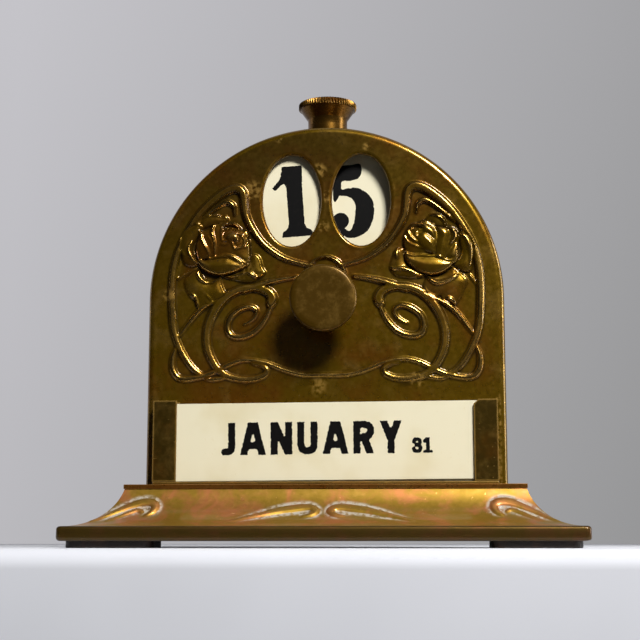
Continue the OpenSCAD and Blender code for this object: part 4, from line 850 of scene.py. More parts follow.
def front_relief(tall, rose):
    """The pressed ornament of one half of the front as a field of heights, with its rose."""
    relief = Relief(x0=-1.0, x1=48.0, z0=43.0, z1=101.0, pitch=0.13)
    for points in (BORDER, BIG_SCROLL):
        relief.wire(points, tall, groove=0.25)
    for points in (CORNER_LINE, BRANCH, KNOB_STEM, INNER_SPIRAL, BOTTOM_LINE, SMALL_LEAF):
        relief.wire(points, tall, groove=0.1)
    relief.wire(arc(0.0, 73.8, radius=5.4, start=-100, end=110, half=0.5, count=16), 0.9 * tall)
    relief.heights = relief.blur(0.12)
    rose_laid(relief, rose, tall)
    shallow, seat_r, run = 0.62, 6.2, 1.2  # depth of the lower half; the flat seat under the knob and its run
    high = 1 - low_share(relief.zs)
    deep = shallow + (1 - shallow) * high * high * (3 - 2 * high)
    from_arbor = np.hypot(relief.xs[:, None], relief.zs[None, :] - ARBOR_Z)
    relief.heights *= deep[None, :] * np.clip((from_arbor - seat_r) / run, 0, 1)
    relief.heights = relief.blur(0.1)
    return relief


# Front plate

def oval_distance(gx, gz, cx, cz, a, b):
    """The distance outside an oval, near its rim."""
    u, v = (gx - cx) / a, (gz - cz) / b
    k = np.sqrt(u * u + v * v) + 1e-9
    slope = np.sqrt((u / a) ** 2 + (v / b) ** 2) / k + 1e-9
    return (k - 1) / slope


class PlateShape:
    """The outlines that the front plate is cut to."""

    def __init__(self, sizes):
        self.edge = sizes.rim_round / MM
        self.lip = sizes.window_lip / MM
        self.inner_r = ARCH_R - self.edge
        self.hole_r = 3.7

    def distance(self, gx, gz):
        """How far inside the flat of the plate a place is."""
        away = np.where(gz > ARCH_Z, self.inner_r - np.hypot(gx, gz - ARCH_Z), self.inner_r - np.abs(gx))
        away = np.minimum(away, gz - CASE_Z)
        for x in WINDOWS_X:
            away = np.minimum(away, oval_distance(gx, gz, x, WINDOW_Z, WINDOW_HALF_W + self.lip,
                                                  WINDOW_HALF_H + self.lip))
        return np.minimum(away, np.hypot(gx, gz - ARBOR_Z) - self.hole_r)

    def rim(self, bm, row):
        """Rolls the outer rim round into its skirt and back to the plate's rear, and returns the last row."""
        foot = CASE_Z + 0.01
        start = next(i for i, v in enumerate(row) if v.co.x > self.inner_r - 0.01 and v.co.z < foot)
        row = row[start:] + row[:start]
        end = next(i for i, v in enumerate(row) if v.co.x < 0.01 - self.inner_r and v.co.z < foot)
        row = row[:end + 1]
        flat = []
        for x, z in [(v.co.x, v.co.z) for v in row]:
            size = math.hypot(x, z - ARCH_Z)
            out = (x / size, (z - ARCH_Z) / size) if z > ARCH_Z else (math.copysign(1.0, x), 0.0)
            flat.append((x, z, *out))
        turns = [math.radians(a) for a in range(15, 91, 15)]
        steps = [(self.edge * math.sin(a), FACE_Y + self.edge * (1 - math.cos(a))) for a in turns]
        soft, wall, fillet = 0.15, self.edge - 0.9, 0.4
        steps += [(self.edge, SKIRT_Y - soft), (self.edge - soft, SKIRT_Y), (wall, SKIRT_Y),
                  (wall, FACE_BACK + fillet), (wall - fillet, FACE_BACK), (0.0, FACE_BACK)]
        for out, y in steps:
            row = skirt(bm, row, [(x + nx * out, y, z + nz * out) for x, z, nx, nz in flat], closed=False)
        bm.edges.new((row[0], row[-1]))
        return row

    def window(self, bm, row, middle):
        """Rolls a window's lip round to the plate's rear, and returns the last row."""
        flat = [(v.co.x - middle, v.co.z - WINDOW_Z) for v in row]
        narrower = WINDOW_HALF_W / (WINDOW_HALF_W + self.lip) - 1
        lower = WINDOW_HALF_H / (WINDOW_HALF_H + self.lip) - 1
        for turn in range(18, 91, 18):
            share = math.sin(math.radians(turn))
            y = FACE_Y + self.lip * (1 - math.cos(math.radians(turn)))
            row = skirt(bm, row, [(middle + x * (1 + narrower * share), y, WINDOW_Z + z * (1 + lower * share))
                                  for x, z in flat])
        return skirt(bm, row, [(v.co.x, FACE_BACK, v.co.z) for v in row])


# Spots where the tarnish is worn through: x, z and radius
RUBBED = [(-20.3, 98.5, 3.6), (-1.6, 104.0, 2.6), (-0.4, 88.0, 2.2), (-22.5, 76.0, 3.6), (0.4, 96.5, 2.2),
          (11.5, 110.6, 1.4), (-13.0, 113.4, 1.6), (-43.5, 69.0, 2.2), (-1.8, 43.6, 3.0), (25.0, 45.0, 3.0)]


def worn_and_lit_at(x, z):
    """How far the tarnish is worn through at places on the plate, 0 to 1, together with a painted highlight:
    a strip beside the right card channel, bared to gold where the lamp falls.
    """
    most = np.zeros(x.shape)
    for cx, cz, radius in RUBBED:
        most = np.maximum(most, 1 - np.hypot(x - cx, z - cz) / radius)
    # painted highlight: the plate right of the right card channel, where the lamp falls, is bared to gold;
    # the left side is left dark
    lit_strip_beside_channel = np.clip((x - 45.6) / 0.8, 0, 1) * np.clip((41.5 - z) / 2.0, 0, 1)
    return np.maximum(most, 0.6 * lit_strip_beside_channel)


def painted_shade_at(x, z):
    """Painted shade: how far the plate's film is mixed towards the deep tarnish colour, more towards the top
    and on the left half than on the right, 0 to 0.6.
    """
    return 0.6 * np.clip((z - 62) / 45, 0, 1) * np.clip(1.0 - x / 70, 0.4, 1)


def front_plate_mesh(sizes):
    """The pressed front: ornament, rounded rim with its skirt, rolled window lips and the bush's hole."""
    shape = PlateShape(sizes)
    pitch, ornament_foot, rim_run, dent = 0.27, 44.2, 0.8, 0.06
    field_low, field_high = 43.5, 100.8
    xs = np.linspace(-shape.inner_r, shape.inner_r, int(round(2 * shape.inner_r / pitch)) + 1)
    zs = np.concatenate([np.linspace(CASE_Z, ornament_foot, 14)[:-1],
                         np.arange(ornament_foot, CASE_TOP, pitch)])
    x, z, quads, triples = cut_grid(shape.distance, xs, zs, pitch / 2)
    height, valley = np.zeros(x.shape), np.zeros(x.shape)
    for side, rose in ((-1, LEFT_ROSE), (1, RIGHT_ROSE)):
        relief = front_relief(sizes.relief_height / MM, rose)
        here = (x * side >= 0) & (z > field_low) & (z < field_high)
        across, up = np.abs(x[here]), z[here]
        height[here] = relief.at(relief.heights, across, up)
        sunk = 0.6 * relief.blur(0.9) + 0.9 * relief.blur(0.4) - 1.5 * relief.heights
        valley[here] = (1.0 + 0.6 * low_share(up)) * relief.at(sunk, across, up)
    near = np.clip(shape.distance(x, z) / rim_run, 0, 1)
    wave = dent * np.sin(x / 17.0 + 0.6) * np.sin(z / 13.0 + 1.0)
    # painted shade darkens the top and left of the plate; a painted highlight strip lies beside the right
    # card channel among the worn spots
    bm = sheet_to_bmesh(x, FACE_Y - height * near + wave * near, z, quads, triples,
                        hollow=valley, rubbed=worn_and_lit_at(x, z), grime=painted_shade_at(x, z))
    back_edges = []
    for row in rims(bm):
        across = [v.co.x for v in row]
        middle = sum(across) / len(row)
        if max(across) - min(across) > ARCH_R:
            row = shape.rim(bm, row)
        elif abs(middle) > shape.hole_r:
            row = shape.window(bm, row, WINDOWS_X[0] if middle < 0 else WINDOWS_X[1])
        else:
            row = skirt(bm, row, [(v.co.x * 0.95, FACE_Y + 0.2, ARBOR_Z + (v.co.z - ARBOR_Z) * 0.95)
                                  for v in row])
            row = skirt(bm, row, [(v.co.x, FACE_BACK, v.co.z) for v in row])
        back_edges += [bm.edges.get(pair) for pair in zip(row, row[1:] + row[:1])]
    bmesh.ops.triangle_fill(bm, edges=back_edges, use_beauty=True, use_dissolve=False)
    open_edges = [e for e in bm.edges if len(e.link_faces) == 1]
    bmesh.ops.triangle_fill(bm, edges=open_edges, use_beauty=True, use_dissolve=False)
    return bm


def slotted_screws(node, slot):
    """The cover's four screws with a slot across each head, left where the screwdriver stopped."""
    places = [vert.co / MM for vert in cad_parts[node].data.vertices]
    cover = span("back_cover")[1].y
    turns = {(-1, False): 25, (1, False): 118, (-1, True): 71, (1, True): 152}
    slot_deep, edge, overlap = 0.35, 0.1, 0.02
    bm = bmesh.new()
    for (side, upper), turn in turns.items():
        mine = [p for p in places if p.x * side > 0 and (p.z > ARBOR_Z) == upper]
        left, low, foot = [min(p[i] for p in mine) for i in range(3)]
        right, top, height = [max(p[i] for p in mine) for i in range(3)]
        shank = [p.x for p in mine if p.y < low + 0.01]
        head, thin = (right - left) / 2, (max(shank) - min(shank)) / 2
        start, cut = math.radians(turn), math.asin(slot / 2 / head)

        def ring(radius, y, steps, begin, end):
            return [((left + right) / 2 + x, y, (foot + height) / 2 + z)
                    for x, z in round_row(radius, steps, start + begin, start + end)]

        floor = top - slot_deep
        closed_tube(bm, [ring(radius, y, 32, 0, 2 * math.pi) for radius, y in
                         ((thin, low), (thin, cover), (head, cover), (head, floor))])
        for half in (0, math.pi):
            closed_tube(bm, [ring(radius, y, 16, half + cut, half + math.pi - cut) for radius, y in
                             ((head, floor - overlap), (head, top - edge), (head - edge, top))])
    return bm


# Base

# The base's raised scrolls: x from the middle and distance up the hollow curve, half width
BASE_SCROLL = [(23.5, 5.9, 0.3), (18.9, 8.0, 0.7), (12.6, 10.3, 1.15), (8.6, 11.2, 1.3), (5, 11.7, 1.25),
               (2.8, 11.4, 1.1), (2.0, 10.3, 1.0), (3.1, 9.0, 0.8), (5.3, 8.2, 0.4)]
BASE_HOOK = [(60.5, 5.7, 0.3), (55, 10.0, 0.8), (49.5, 13.0, 1.2), (46, 13.5, 1.25), (44.5, 12.3, 1.1),
             (44.9, 10.4, 0.85), (46.4, 8.8, 0.4)]
BASE_HOOK_TAIL = [(56.5, 5.9, 0.3), (52.2, 9.2, 0.6), (48.9, 11.0, 0.6), (47.6, 10.3, 0.4)]


def base_relief(tall):
    """The raised scrolls of the base's front as a field of heights for its right half."""
    relief = Relief(x0=-1.0, x1=67.0, z0=0.0, z1=17.8, pitch=0.16)
    relief.wire(BASE_SCROLL, tall, groove=0.35)
    relief.wire(BASE_HOOK, tall, groove=0.35)
    relief.wire(BASE_HOOK_TAIL, 0.7 * tall)
    relief.heights = relief.blur(0.28)
    return relief


def round_corner(x, y, w, d, radius):
    """A place on the outline of a rectangle of half sizes w and d, moved onto the arc of its corner."""
    over_x, over_y = abs(x) - w + radius, abs(y) - d + radius
    if over_x <= 0 or over_y <= 0:
        return x, y
    size = math.hypot(over_x, over_y) / radius
    return math.copysign(w - radius + over_x / size, x), math.copysign(d - radius + over_y / size, y)


def eased(start, steps):
    """Places along a side from one end to the other, closer together towards its corners."""
    return [math.sin(a) for a in np.linspace(start, -start, steps, endpoint=False)]


def base_shell_mesh(sizes):
    """The pressed shell: a slab with soft edges, the hollow curve with its raised scrolls, and its inside."""
    half_w, half_d, head_z = SHELL_HIGH
    low_z = SHELL_LOW.z
    slab_top = low_z + 3.8
    edge = sizes.slab_round / MM
    curve_r, curve_long, curve_rows, curve_start = 14.1, 17.72, 56, math.radians(-90.65)
    curve_inset, corner_r, slab_grime = 1.34, 1.2, 0.85
    relief = base_relief(sizes.base_relief_height / MM)
    sunk = relief.blur(1.1) - relief.heights
    # Each ring is its way in from the outline and its height, or its way up the hollow curve
    turns = [(math.cos(a), math.sin(a)) for a in map(math.radians, (0, 30, 60, 90))]
    rings = [(edge * (1 - s), low_z + edge * (1 - c), None) for c, s in turns]
    rings += [(edge * (1 - c), slab_top - edge * (1 - s), None) for c, s in turns]
    rings.append((1.1, slab_top, None))
    rings += [(None, None, curve_long * k / curve_rows) for k in range(curve_rows + 1)]
    rings += [(inset, head_z, None) for inset in (15.2, 25.0, 31.0)]
    split = len(rings) - 1
    rings += [(30.0, head_z - 1.0, None), (16.4, head_z - 1.0, None), (14.6, head_z - 3.6, None),
              (11.0, slab_top + 2.2, None), (6.4, slab_top, None), (2.5, slab_top - 1.0, None),
              (1.0, slab_top - 1.0, None), (1.0, low_z, None)]
    front, quarter = np.linspace(-1, 1, 400, endpoint=False), math.pi / 2
    spots = [(u, -1) for u in front] + [(1, v) for v in eased(-quarter, 30)]
    spots += [(u, 1) for u in eased(quarter, 40)] + [(-1, v) for v in eased(quarter, 30)]
    bm = bmesh.new()
    hollow, grime = [bm.verts.layers.float.new(name) for name in ("hollow", "grime")]
    rows = []
    for inset, z, along in rings:
        lift = shade = front * 0
        turn = 0.0
        if along is not None:
            turn = curve_start - along / curve_r
            inset = curve_inset - curve_r * math.cos(turn)
            z = slab_top + curve_r - 0.001 + curve_r * math.sin(turn)
            across, up = np.abs(front * (half_w - inset)), np.full(len(front), along)
            lift, shade = relief.at(relief.heights, across, up), relief.at(sunk, across, up)
        w, d = half_w - inset, half_d - inset
        rows.append([])
        for k, (u, v) in enumerate(spots):
            rise = float(lift[k]) if k < len(front) else 0.0
            x, y = u * w, v * d + rise * math.cos(turn)
            if along is None:
                x, y = round_corner(x, y, w, d, corner_r)
            vert = bm.verts.new((x, y, z - rise * math.sin(turn)))
            if k < len(front):
                vert[hollow] = float(shade[k])
            # painted shade: the slab's front and the inside below its top are darkened towards the deep
            # tarnish colour
            if along is None and z <= slab_top:
                vert[grime] = slab_grime
            rows[-1].append(vert)
    for ring, (low, high) in enumerate(zip(rows, rows[1:])):
        if ring != split:
            band(bm, low, high)
    bm.faces.new(rows[split])
    bm.faces.new(list(reversed(rows[split + 1])))
    band(bm, rows[-1], rows[0])
    return bm


# Print: digits on the discs, months on the cards

# Each digit is 20 mm high on z = 0; paths are x, z and half width, shapes are closed outlines
DIGIT_TALL = 20.0
BALL = 2.0
DIGITS = {
    "0": ([[(0, 19.3, 0.85), (-3.0, 17.6, 1.5), (-4.2, 13.8, 2.3), (-4.4, 10, 2.6), (-4.2, 6.2, 2.3),
            (-3.0, 2.4, 1.5), (0, 0.8, 0.85), (3.0, 2.4, 1.5), (4.2, 6.2, 2.3), (4.4, 10, 2.6),
            (4.2, 13.8, 2.3), (3.0, 17.6, 1.5), (0, 19.3, 0.85)]], []),
    "1": ([], [[(-4.2, 0), (4.4, 0), (4.5, 0.9), (3.9, 1.7), (2.7, 2.3), (2.3, 3.6), (2.2, 12), (2.5, 20.1),
                (-3.1, 20.1), (-3.3, 18.8), (-3.9, 16.6), (-6.1, 14.1), (-5.3, 13.3), (-3.6, 14.9),
                (-2.6, 15.3), (-2.2, 14.0), (-2.1, 3.6), (-2.6, 2.3), (-3.9, 1.4)]]),
    "2": ([[(-3.0, 14.6, BALL), (-3.1, 14.8, BALL)],
           [(-4.6, 15.4, 0.6), (-3.4, 18.2, 0.9), (-0.2, 19.2, 1.1), (3.0, 17.4, 2.1), (3.6, 14.0, 2.5),
            (2.2, 10.4, 2.1), (-0.8, 7.0, 1.4), (-3.6, 3.8, 1.0), (-4.6, 1.4, 0.8)],
           [(-4.2, 1.8, 1.5), (-2.0, 2.6, 1.9), (1.0, 2.0, 2.1), (3.4, 1.8, 1.7), (4.8, 3.2, 0.9),
            (5.1, 5.2, 0.5)]],
          []),
    "3": ([[(-3.1, 15.2, BALL), (-3.2, 15.3, BALL)],
           [(-4.4, 16.6, 0.6), (-2.4, 19.0, 0.9), (0.6, 19.0, 1.3), (3.0, 16.4, 2.3), (2.6, 13.0, 1.9),
            (0.2, 11.0, 0.8), (-1.4, 10.8, 0.5)],
           [(-1.4, 10.6, 0.5), (1.2, 10.2, 0.9), (3.8, 8.2, 2.2), (4.1, 5.0, 2.6), (2.4, 1.9, 1.8),
            (-0.6, 0.9, 0.9), (-3.4, 1.9, 0.9), (-4.7, 4.0, 0.6)],
           [(-3.4, 4.6, BALL), (-3.5, 4.7, BALL)]], []),
    "4": ([[(1.4, 18.8, 0.8), (-4.6, 6.2, 0.8)], [(-4.8, 5.4, 1.0), (5.2, 5.4, 1.0)]],
          [[(-0.2, 0), (-1.4, 0), (-1.4, 0.9), (0.0, 1.8), (0.0, 16.6), (2.2, 20), (4.4, 20),
            (4.4, 1.8), (5.8, 0.9), (5.8, 0)]]),
    "5": ([[(-3.2, 12.7, 0.75), (-1.4, 12.9, 1.15), (1.0, 12.2, 1.8), (2.9, 9.8, 2.4), (2.95, 6.6, 2.55),
            (2.1, 3.6, 2.2), (0.2, 1.6, 1.35), (-1.6, 1.2, 0.9), (-3.3, 2.3, 0.9)],
           [(-3.5, 5.0, 2.2), (-3.6, 5.0, 2.2)], [(-4.6, 3.0, 0.5), (-3.3, 1.9, 0.8), (-1.8, 1.0, 0.7)]],
          [[(-5.6, 20.3), (-3.0, 20.4), (0.0, 20.6), (1.5, 20.9), (2.2, 20.7), (2.5, 19.4), (2.3, 17.8),
            (1.4, 16.6), (-0.6, 16.1), (-3.2, 16.1), (-3.3, 13.4), (-4.2, 11.2), (-5.0, 10.2),
            (-5.5, 10.8)]]),
    "6": ([[(2.9, 15.4, BALL), (3.0, 15.5, BALL)],
           [(4.4, 16.9, 0.6), (2.6, 19.0, 0.9), (-0.6, 18.8, 1.2), (-3.2, 15.6, 2.0), (-4.2, 10.4, 2.6),
            (-3.8, 5.4, 2.4), (-2.2, 1.8, 1.4), (0.2, 0.9, 0.9), (2.8, 2.3, 1.8), (4.0, 5.8, 2.5),
            (3.0, 9.4, 2.1), (0.8, 11.4, 1.0), (-2.0, 10.6, 0.7), (-3.4, 8.6, 0.5)]], []),
    "7": ([[(-4.7, 14.4, 0.5), (-4.3, 16.8, 1.1)],
           [(4.7, 19.0, 0.9), (3.2, 14.6, 1.3), (1.0, 10.2, 1.9), (-0.6, 5.6, 2.5), (-0.9, 2.4, 2.5)]],
          [[(-5.0, 20), (-4.9, 15.6), (-1.6, 16.2), (2.0, 15.8), (4.4, 17.4), (5.4, 20), (1.0, 19.4),
            (-2.4, 20)]]),
    "8": ([[(0, 19.2, 0.9), (-2.9, 17.6, 1.7), (-3.1, 14.0, 2.0), (-0.2, 10.9, 1.9), (3.6, 7.4, 2.3),
            (3.9, 3.8, 2.2), (2.0, 1.6, 1.4), (0, 0.9, 0.9), (-3.3, 2.4, 1.8), (-4.2, 5.6, 1.8),
            (-2.4, 9.0, 1.2), (0.6, 11.2, 1.0), (3.2, 13.8, 1.4), (3.3, 17.0, 1.5), (0, 19.2, 0.9)]], []),
}
DIGITS["9"] = ([[(-x, DIGIT_TALL - z, r) for x, z, r in path] for path in DIGITS["6"][0]], [])

# Each capital is 10 high: its width in the same measure, its straight strokes and its curved ones. Straight
# strokes run past the top and the foot, where they are cut level
STEM = [(1.1, -1), (1.1, 11)]
LETTERS = {
    "A": (7.9, [[(0.6, -2), (3.9, 11.5)], [(7.3, -2), (4.0, 11.5)], [(1.9, 2.9), (6.0, 2.9)]], []),
    "B": (6.6, [STEM], [[(1.1, 8.9), (3.4, 8.9), (4.9, 8.3), (5.1, 7.3), (4.6, 6.1), (3.2, 5.5), (1.1, 5.5)],
          [(1.1, 5.3), (3.6, 5.2), (5.3, 4.2), (5.5, 2.9), (4.9, 1.6), (3.4, 1.1), (1.1, 1.1)]]),
    "C": (6.8, [], [[(5.7, 6.9), (5.3, 8.3), (3.7, 8.95), (1.9, 8.2), (1.15, 6.6), (1.1, 5), (1.15, 3.4),
          (1.9, 1.8), (3.7, 1.05), (5.3, 1.7), (5.7, 3.1)]]),
    "E": (5.8, [STEM, [(1.1, 8.9), (4.8, 8.9)], [(1.1, 5.1), (4.3, 5.1)], [(1.1, 1.1), (4.8, 1.1)]], []),
    "F": (5.6, [STEM, [(1.1, 8.9), (4.7, 8.9)], [(1.1, 5.1), (4.2, 5.1)]], []),
    "H": (6.6, [STEM, [(5.5, -1), (5.5, 11)], [(1.1, 5.2), (5.5, 5.2)]], []),
    "I": (2.2, [STEM], []),
    "J": (3.6, [[(2.5, 2.4), (2.5, 11)]], [[(2.5, 3.0), (2.3, 1.6), (1.3, 1.05), (0.3, 1.0)]]),
    "L": (5.4, [STEM, [(1.1, 1.1), (4.5, 1.1)]], []),
    "M": (8.4, [STEM, [(7.3, -1), (7.3, 11)], [(1.3, 10), (4.2, 2.2)], [(7.1, 10), (4.2, 2.2)]], []),
    "N": (6.7, [STEM, [(5.6, -1), (5.6, 11)], [(1.0, 10.2), (5.7, -0.2)]], []),
    "P": (6.2, [STEM], [[(1.1, 8.9), (3.6, 8.9), (5.0, 8.1), (5.2, 6.8), (4.8, 5.5), (3.4, 4.7),
          (1.1, 4.7)]]),
    "R": (6.6, [STEM, [(3.2, 5.2), (5.9, -2)]], [[(1.1, 8.9), (3.6, 8.9), (5.1, 8.2), (5.3, 7.0), (4.9, 5.7),
          (3.4, 5.0), (1.1, 5.0)]]),
    "U": (6.3, [[(1.1, 3), (1.1, 11)], [(5.2, 3), (5.2, 11)]], [[(1.1, 3.2), (1.5, 1.7), (3.15, 1.05),
          (4.8, 1.7), (5.2, 3.2)]]),
    "Y": (6.8, [[(0.4, 12), (3.4, 4.2)], [(6.4, 12), (3.4, 4.2)], [(3.4, 5.2), (3.4, -1)]], []),
    "0": (7.0, [], [[(3.5, 8.9), (1.7, 7.8), (1.2, 5), (1.7, 2.2), (3.5, 1.1), (5.3, 2.2), (5.8, 5),
          (5.3, 7.8), (3.5, 8.9)]]),
    "1": (5.2, [[(2.9, -1), (2.9, 11)], [(1.0, 7.6), (2.4, 9.0)], [(1.0, 0.6), (4.8, 0.6)]], []),
    "2": (6.8, [[(1.2, 1.1), (6.0, 1.1)]], [[(1.3, 6.9), (1.6, 8.1), (3.4, 8.9), (5.2, 8.0), (5.3, 6.4),
          (4.2, 4.6), (1.3, 1.6)]]),
    "3": (6.8, [], [[(1.3, 7.2), (2.0, 8.6), (3.6, 8.9), (5.1, 8.0), (5.1, 6.5), (4.2, 5.5), (2.8, 5.3)],
          [(2.8, 5.1), (4.6, 4.7), (5.5, 3.2), (4.9, 1.6), (3.3, 1.0), (1.7, 1.4), (1.1, 2.8)]]),
    "8": (6.8, [], [[(3.4, 5.3), (2.0, 6.0), (1.6, 7.3), (2.2, 8.5), (3.4, 8.9), (4.6, 8.5), (5.2, 7.3),
          (4.8, 6.0), (3.4, 5.3)], [(3.4, 5.3), (1.7, 4.4), (1.2, 3.0), (1.8, 1.6), (3.4, 1.1), (5.0, 1.6),
          (5.6, 3.0), (5.1, 4.4), (3.4, 5.3)]]),
}
MONTHS = (("JANUARY", "31"), ("FEBRUARY", "28"), ("MARCH", "31"), ("APRIL", "30"), ("MAY", "31"),
          ("JUNE", "30"))
MONTH_TYPE = {"cap": 8.7, "half": 0.95, "space": 1.33}
DAYS_TYPE = {"cap": 4.1, "half": 0.5, "space": 0.25}
INK_FILM, INK_SUNK = 0.03, 0.02  # how far the ink stands proud of the celluloid and reaches into it


def print_distance(paths, shapes, top, ragged):
    """A distance function, positive on the print, cut level at z = 0 and z = top, with ragged edges."""
    def distance(gx, gz):
        away = np.full(gx.shape, -1e3)
        for path in paths:
            for (x0, z0, r0), (x1, z1, r1) in zip(path, path[1:]):
                gap, along = beside_stroke(gx, gz, x0, z0, x1, z1)
                away = np.maximum(away, r0 + (r1 - r0) * along - gap)
        for shape in shapes:
            gap, inside = distance_to(np.array(shape, dtype=float), gx, gz)
            away = np.maximum(away, np.where(inside, gap, -gap))
        if top:
            away = np.minimum(away, np.minimum(gz, top - gz))
        rough = (np.sin(6.1 * gx + 2.3 * gz + 0.4) + np.sin(2.9 * gx - 5.3 * gz + 1.9)
                 + np.sin(11.3 * gx + 9.1 * gz + 4.0) * 0.7 + np.sin(8.3 * gz - 10.7 * gx) * 0.7)
        return away + ragged * rough
    return distance


def ink_film(bm, paths, shapes, place, pitch, top=0.0, ragged=0.02):
    """Adds a thin closed film of ink to a bmesh; place puts x, z and depth into the frame."""
    spots = np.array([p for path in paths for p in path] + [(x, z, 0) for shape in shapes for x, z in shape])
    low = (spots[:, :2] - spots[:, 2:]).min(axis=0) - 1
    high = (spots[:, :2] + spots[:, 2:]).max(axis=0) + 1
    xs, zs = [np.arange(start, end, pitch) for start, end in zip(low, high)]
    x, z, quads, triples = cut_grid(print_distance(paths, shapes, top, ragged), xs, zs, pitch / 2)
    flat = sheet_to_bmesh(x, np.zeros(len(x)), z, quads, triples)
    bmesh.ops.dissolve_limit(flat, angle_limit=math.radians(2.5), verts=flat.verts, edges=flat.edges)
    bmesh.ops.triangulate(flat, faces=flat.faces)
    flat.verts.index_update()
    front, back = [[bm.verts.new(place(v.co.x, v.co.z, depth)) for v in flat.verts]
                   for depth in (-INK_FILM, INK_SUNK)]
    for face in flat.faces:
        ids = [v.index for v in face.verts]
        bm.faces.new([front[i] for i in ids])
        bm.faces.new([back[i] for i in reversed(ids)])
    for edge in flat.edges:
        if len(edge.link_faces) == 1:
            loop = edge.link_loops[0]
            a, b = loop.vert.index, loop.link_loop_next.vert.index
            bm.faces.new((front[b], front[a], back[a], back[b]))
    flat.free()


def turned_by(angle, x, z):
    """A place turned about the middle, as x and z."""
    return x * math.cos(angle) - z * math.sin(angle), x * math.sin(angle) + z * math.cos(angle)


def disc_print(body, disc, digits, window_x, size, offset, lean):
    """Prints digits round a disc, so that each stands upright in its window when its turn comes. window_x
    is the window's middle, offset the print's place from there, and lean how far it is turned, in degrees."""
    face_y = span(disc)[0].y
    scale = size / DIGIT_TALL
    bm = bmesh.new()
    for turn, digit in enumerate(digits):
        angle = -2 * math.pi * turn / len(digits)

        def place(x, z, depth):
            x, z = turned_by(math.radians(lean), x * scale, (z - DIGIT_TALL / 2) * scale)
            x, z = turned_by(angle, x + window_x + offset[0], z + DIGIT_RING + offset[1])
            return x, face_y + depth, ARBOR_Z + z

        paths, shapes = DIGITS[digit]
        ink_film(bm, [smooth_path(path, 6) for path in paths], shapes, place, pitch=0.33)
    placed(bm, body.replace("_works", "_digits"), body, None, "ink")


def word_paths(text, cap, half, space):
    """The paths of a word on z = 0, starting at x = 0, and its width."""
    grow = cap / 10.0
    paths, at = [], 0.0
    for letter in text:
        wide, straight, curved = LETTERS[letter]
        for strokes, run in ((straight, np.array), (curved, partial(smooth_path, steps=6))):
            paths += [run([(at + x * grow, z * grow, half) for x, z in points]) for points in strokes]
        at += wide * grow + space
    return paths, at - space


def card_print(number):
    """Prints a month and its number of days on the front of a card, a little askew as a hand feeds it."""
    month, days = MONTHS[number - 1]
    node = "month_card_%d" % number
    low, high = span(node)
    gap, shift, foot, askew = 2.6, 0.7, -3.48, math.radians(0.55)
    caps, wide = word_paths(month, **MONTH_TYPE)
    small, small_wide = word_paths(days, **DAYS_TYPE)
    start = -(wide + gap + small_wide) / 2 + shift

    def place_from(left):
        def place(x, z, depth):
            x, z = turned_by(askew, x + left, z + foot)
            return x, low.y + depth, (low.z + high.z) / 2 + z
        return place

    bm = bmesh.new()
    ink_film(bm, caps, [], place_from(start), pitch=0.22, top=MONTH_TYPE["cap"], ragged=0.035)
    ink_film(bm, small, [], place_from(start + wide + gap), pitch=0.16, top=DAYS_TYPE["cap"])
    placed(bm, node + "_print", node + "_body", None, "ink")


# Sizes and colours a user may change

def length(name, description, millimetres, **limits):
    """A length that a user may change, with its default in millimetres."""
    return FloatProperty(name=name, description=description, default=millimetres * MM, unit="LENGTH",
                         **limits)


def tint(name, description, code):
    """A colour that a user may change, with its default as an sRGB hex value."""
    return FloatVectorProperty(name=name, description=description, default=srgb(code), subtype="COLOR",
                               min=0.0, max=1.0)


class CALENDAR_PG_sizes(bpy.types.PropertyGroup):
    """Sizes of the pressed and rounded details."""
    relief_height: length("Relief height", "How far the front's ornament is raised", 1.35, max=2.0 * MM)
    base_relief_height: length("Base relief height", "How far the base's scrolls are raised", 0.75,
                               max=1.5 * MM)
    rim_round: length("Rim rounding", "Radius of the rounded rim of the case", 1.8)
    window_lip: length("Window lip", "Radius of the rolled lip round a window", 0.9)
    slab_round: length("Slab rounding", "Radius of the slab's edges", 0.8)
    screw_slot: length("Screw slot", "Width of the slot across a cover screw's head", 0.5)
    digit_height: length("Digit height", "Height of the digits on the discs", 20.0)


class CALENDAR_PG_colours(bpy.types.PropertyGroup):
    """Colours of the finishes."""
    brass: tint("Bare brass", "Bare metal where the case is rubbed", "#D2A552")
    film: tint("Tarnish film", "Olive-brown film over the case", "#674D02")
    blush: tint("Copper blush", "Redder patches in the film", "#704008")
    brass_shade: tint("Handled film", "Film over the top knob", "#6A4A18")
    folded_film: tint("Channel film", "Darker film over the card channels", "#46350A")
    knob_film: tint("Knob film", "Brown film over the front knob", "#4F3703")
    # this colour also paints shade on the plate's top and left and on the base's slab
    tarnish: tint("Deep tarnish", "Brown-black of the hollows", "#2E2109")
    base_brass: tint("Handled brass", "Bright, redder brass of the base", "#D09C55")
    base_film: tint("Base film", "Thin tarnish over the base", "#907024")
    base_blush: tint("Base blush", "Pinker patches of the base", "#BC7048")
    plate_film: tint("Plate film", "Coppery tarnish of the top plate", "#80501A")
    polish: tint("Dried polish", "White polish left in the hollows of the base", "#BDB6A8")
    cream: tint("Celluloid", "Cream of cards and discs", "#EFE6C6")
    stain: tint("Stain", "Yellowed patches of the celluloid", "#DFCF9F")
    ink: tint("Ink", "Black of the print", "#090807")
    leather: tint("Leather", "Dark leather of the pads", "#1D130C")
    board: tint("Board", "Paint of the table board", "#DEDFE5")
    # the backdrop's lighter and darker sides are a painted fall of light across the paper
    backdrop: tint("Backdrop", "Lighter side of the paper behind the calendar", "#C5C4C9")
    backdrop_shade: tint("Backdrop shade", "Darker side of that paper", "#959596")


# Operators

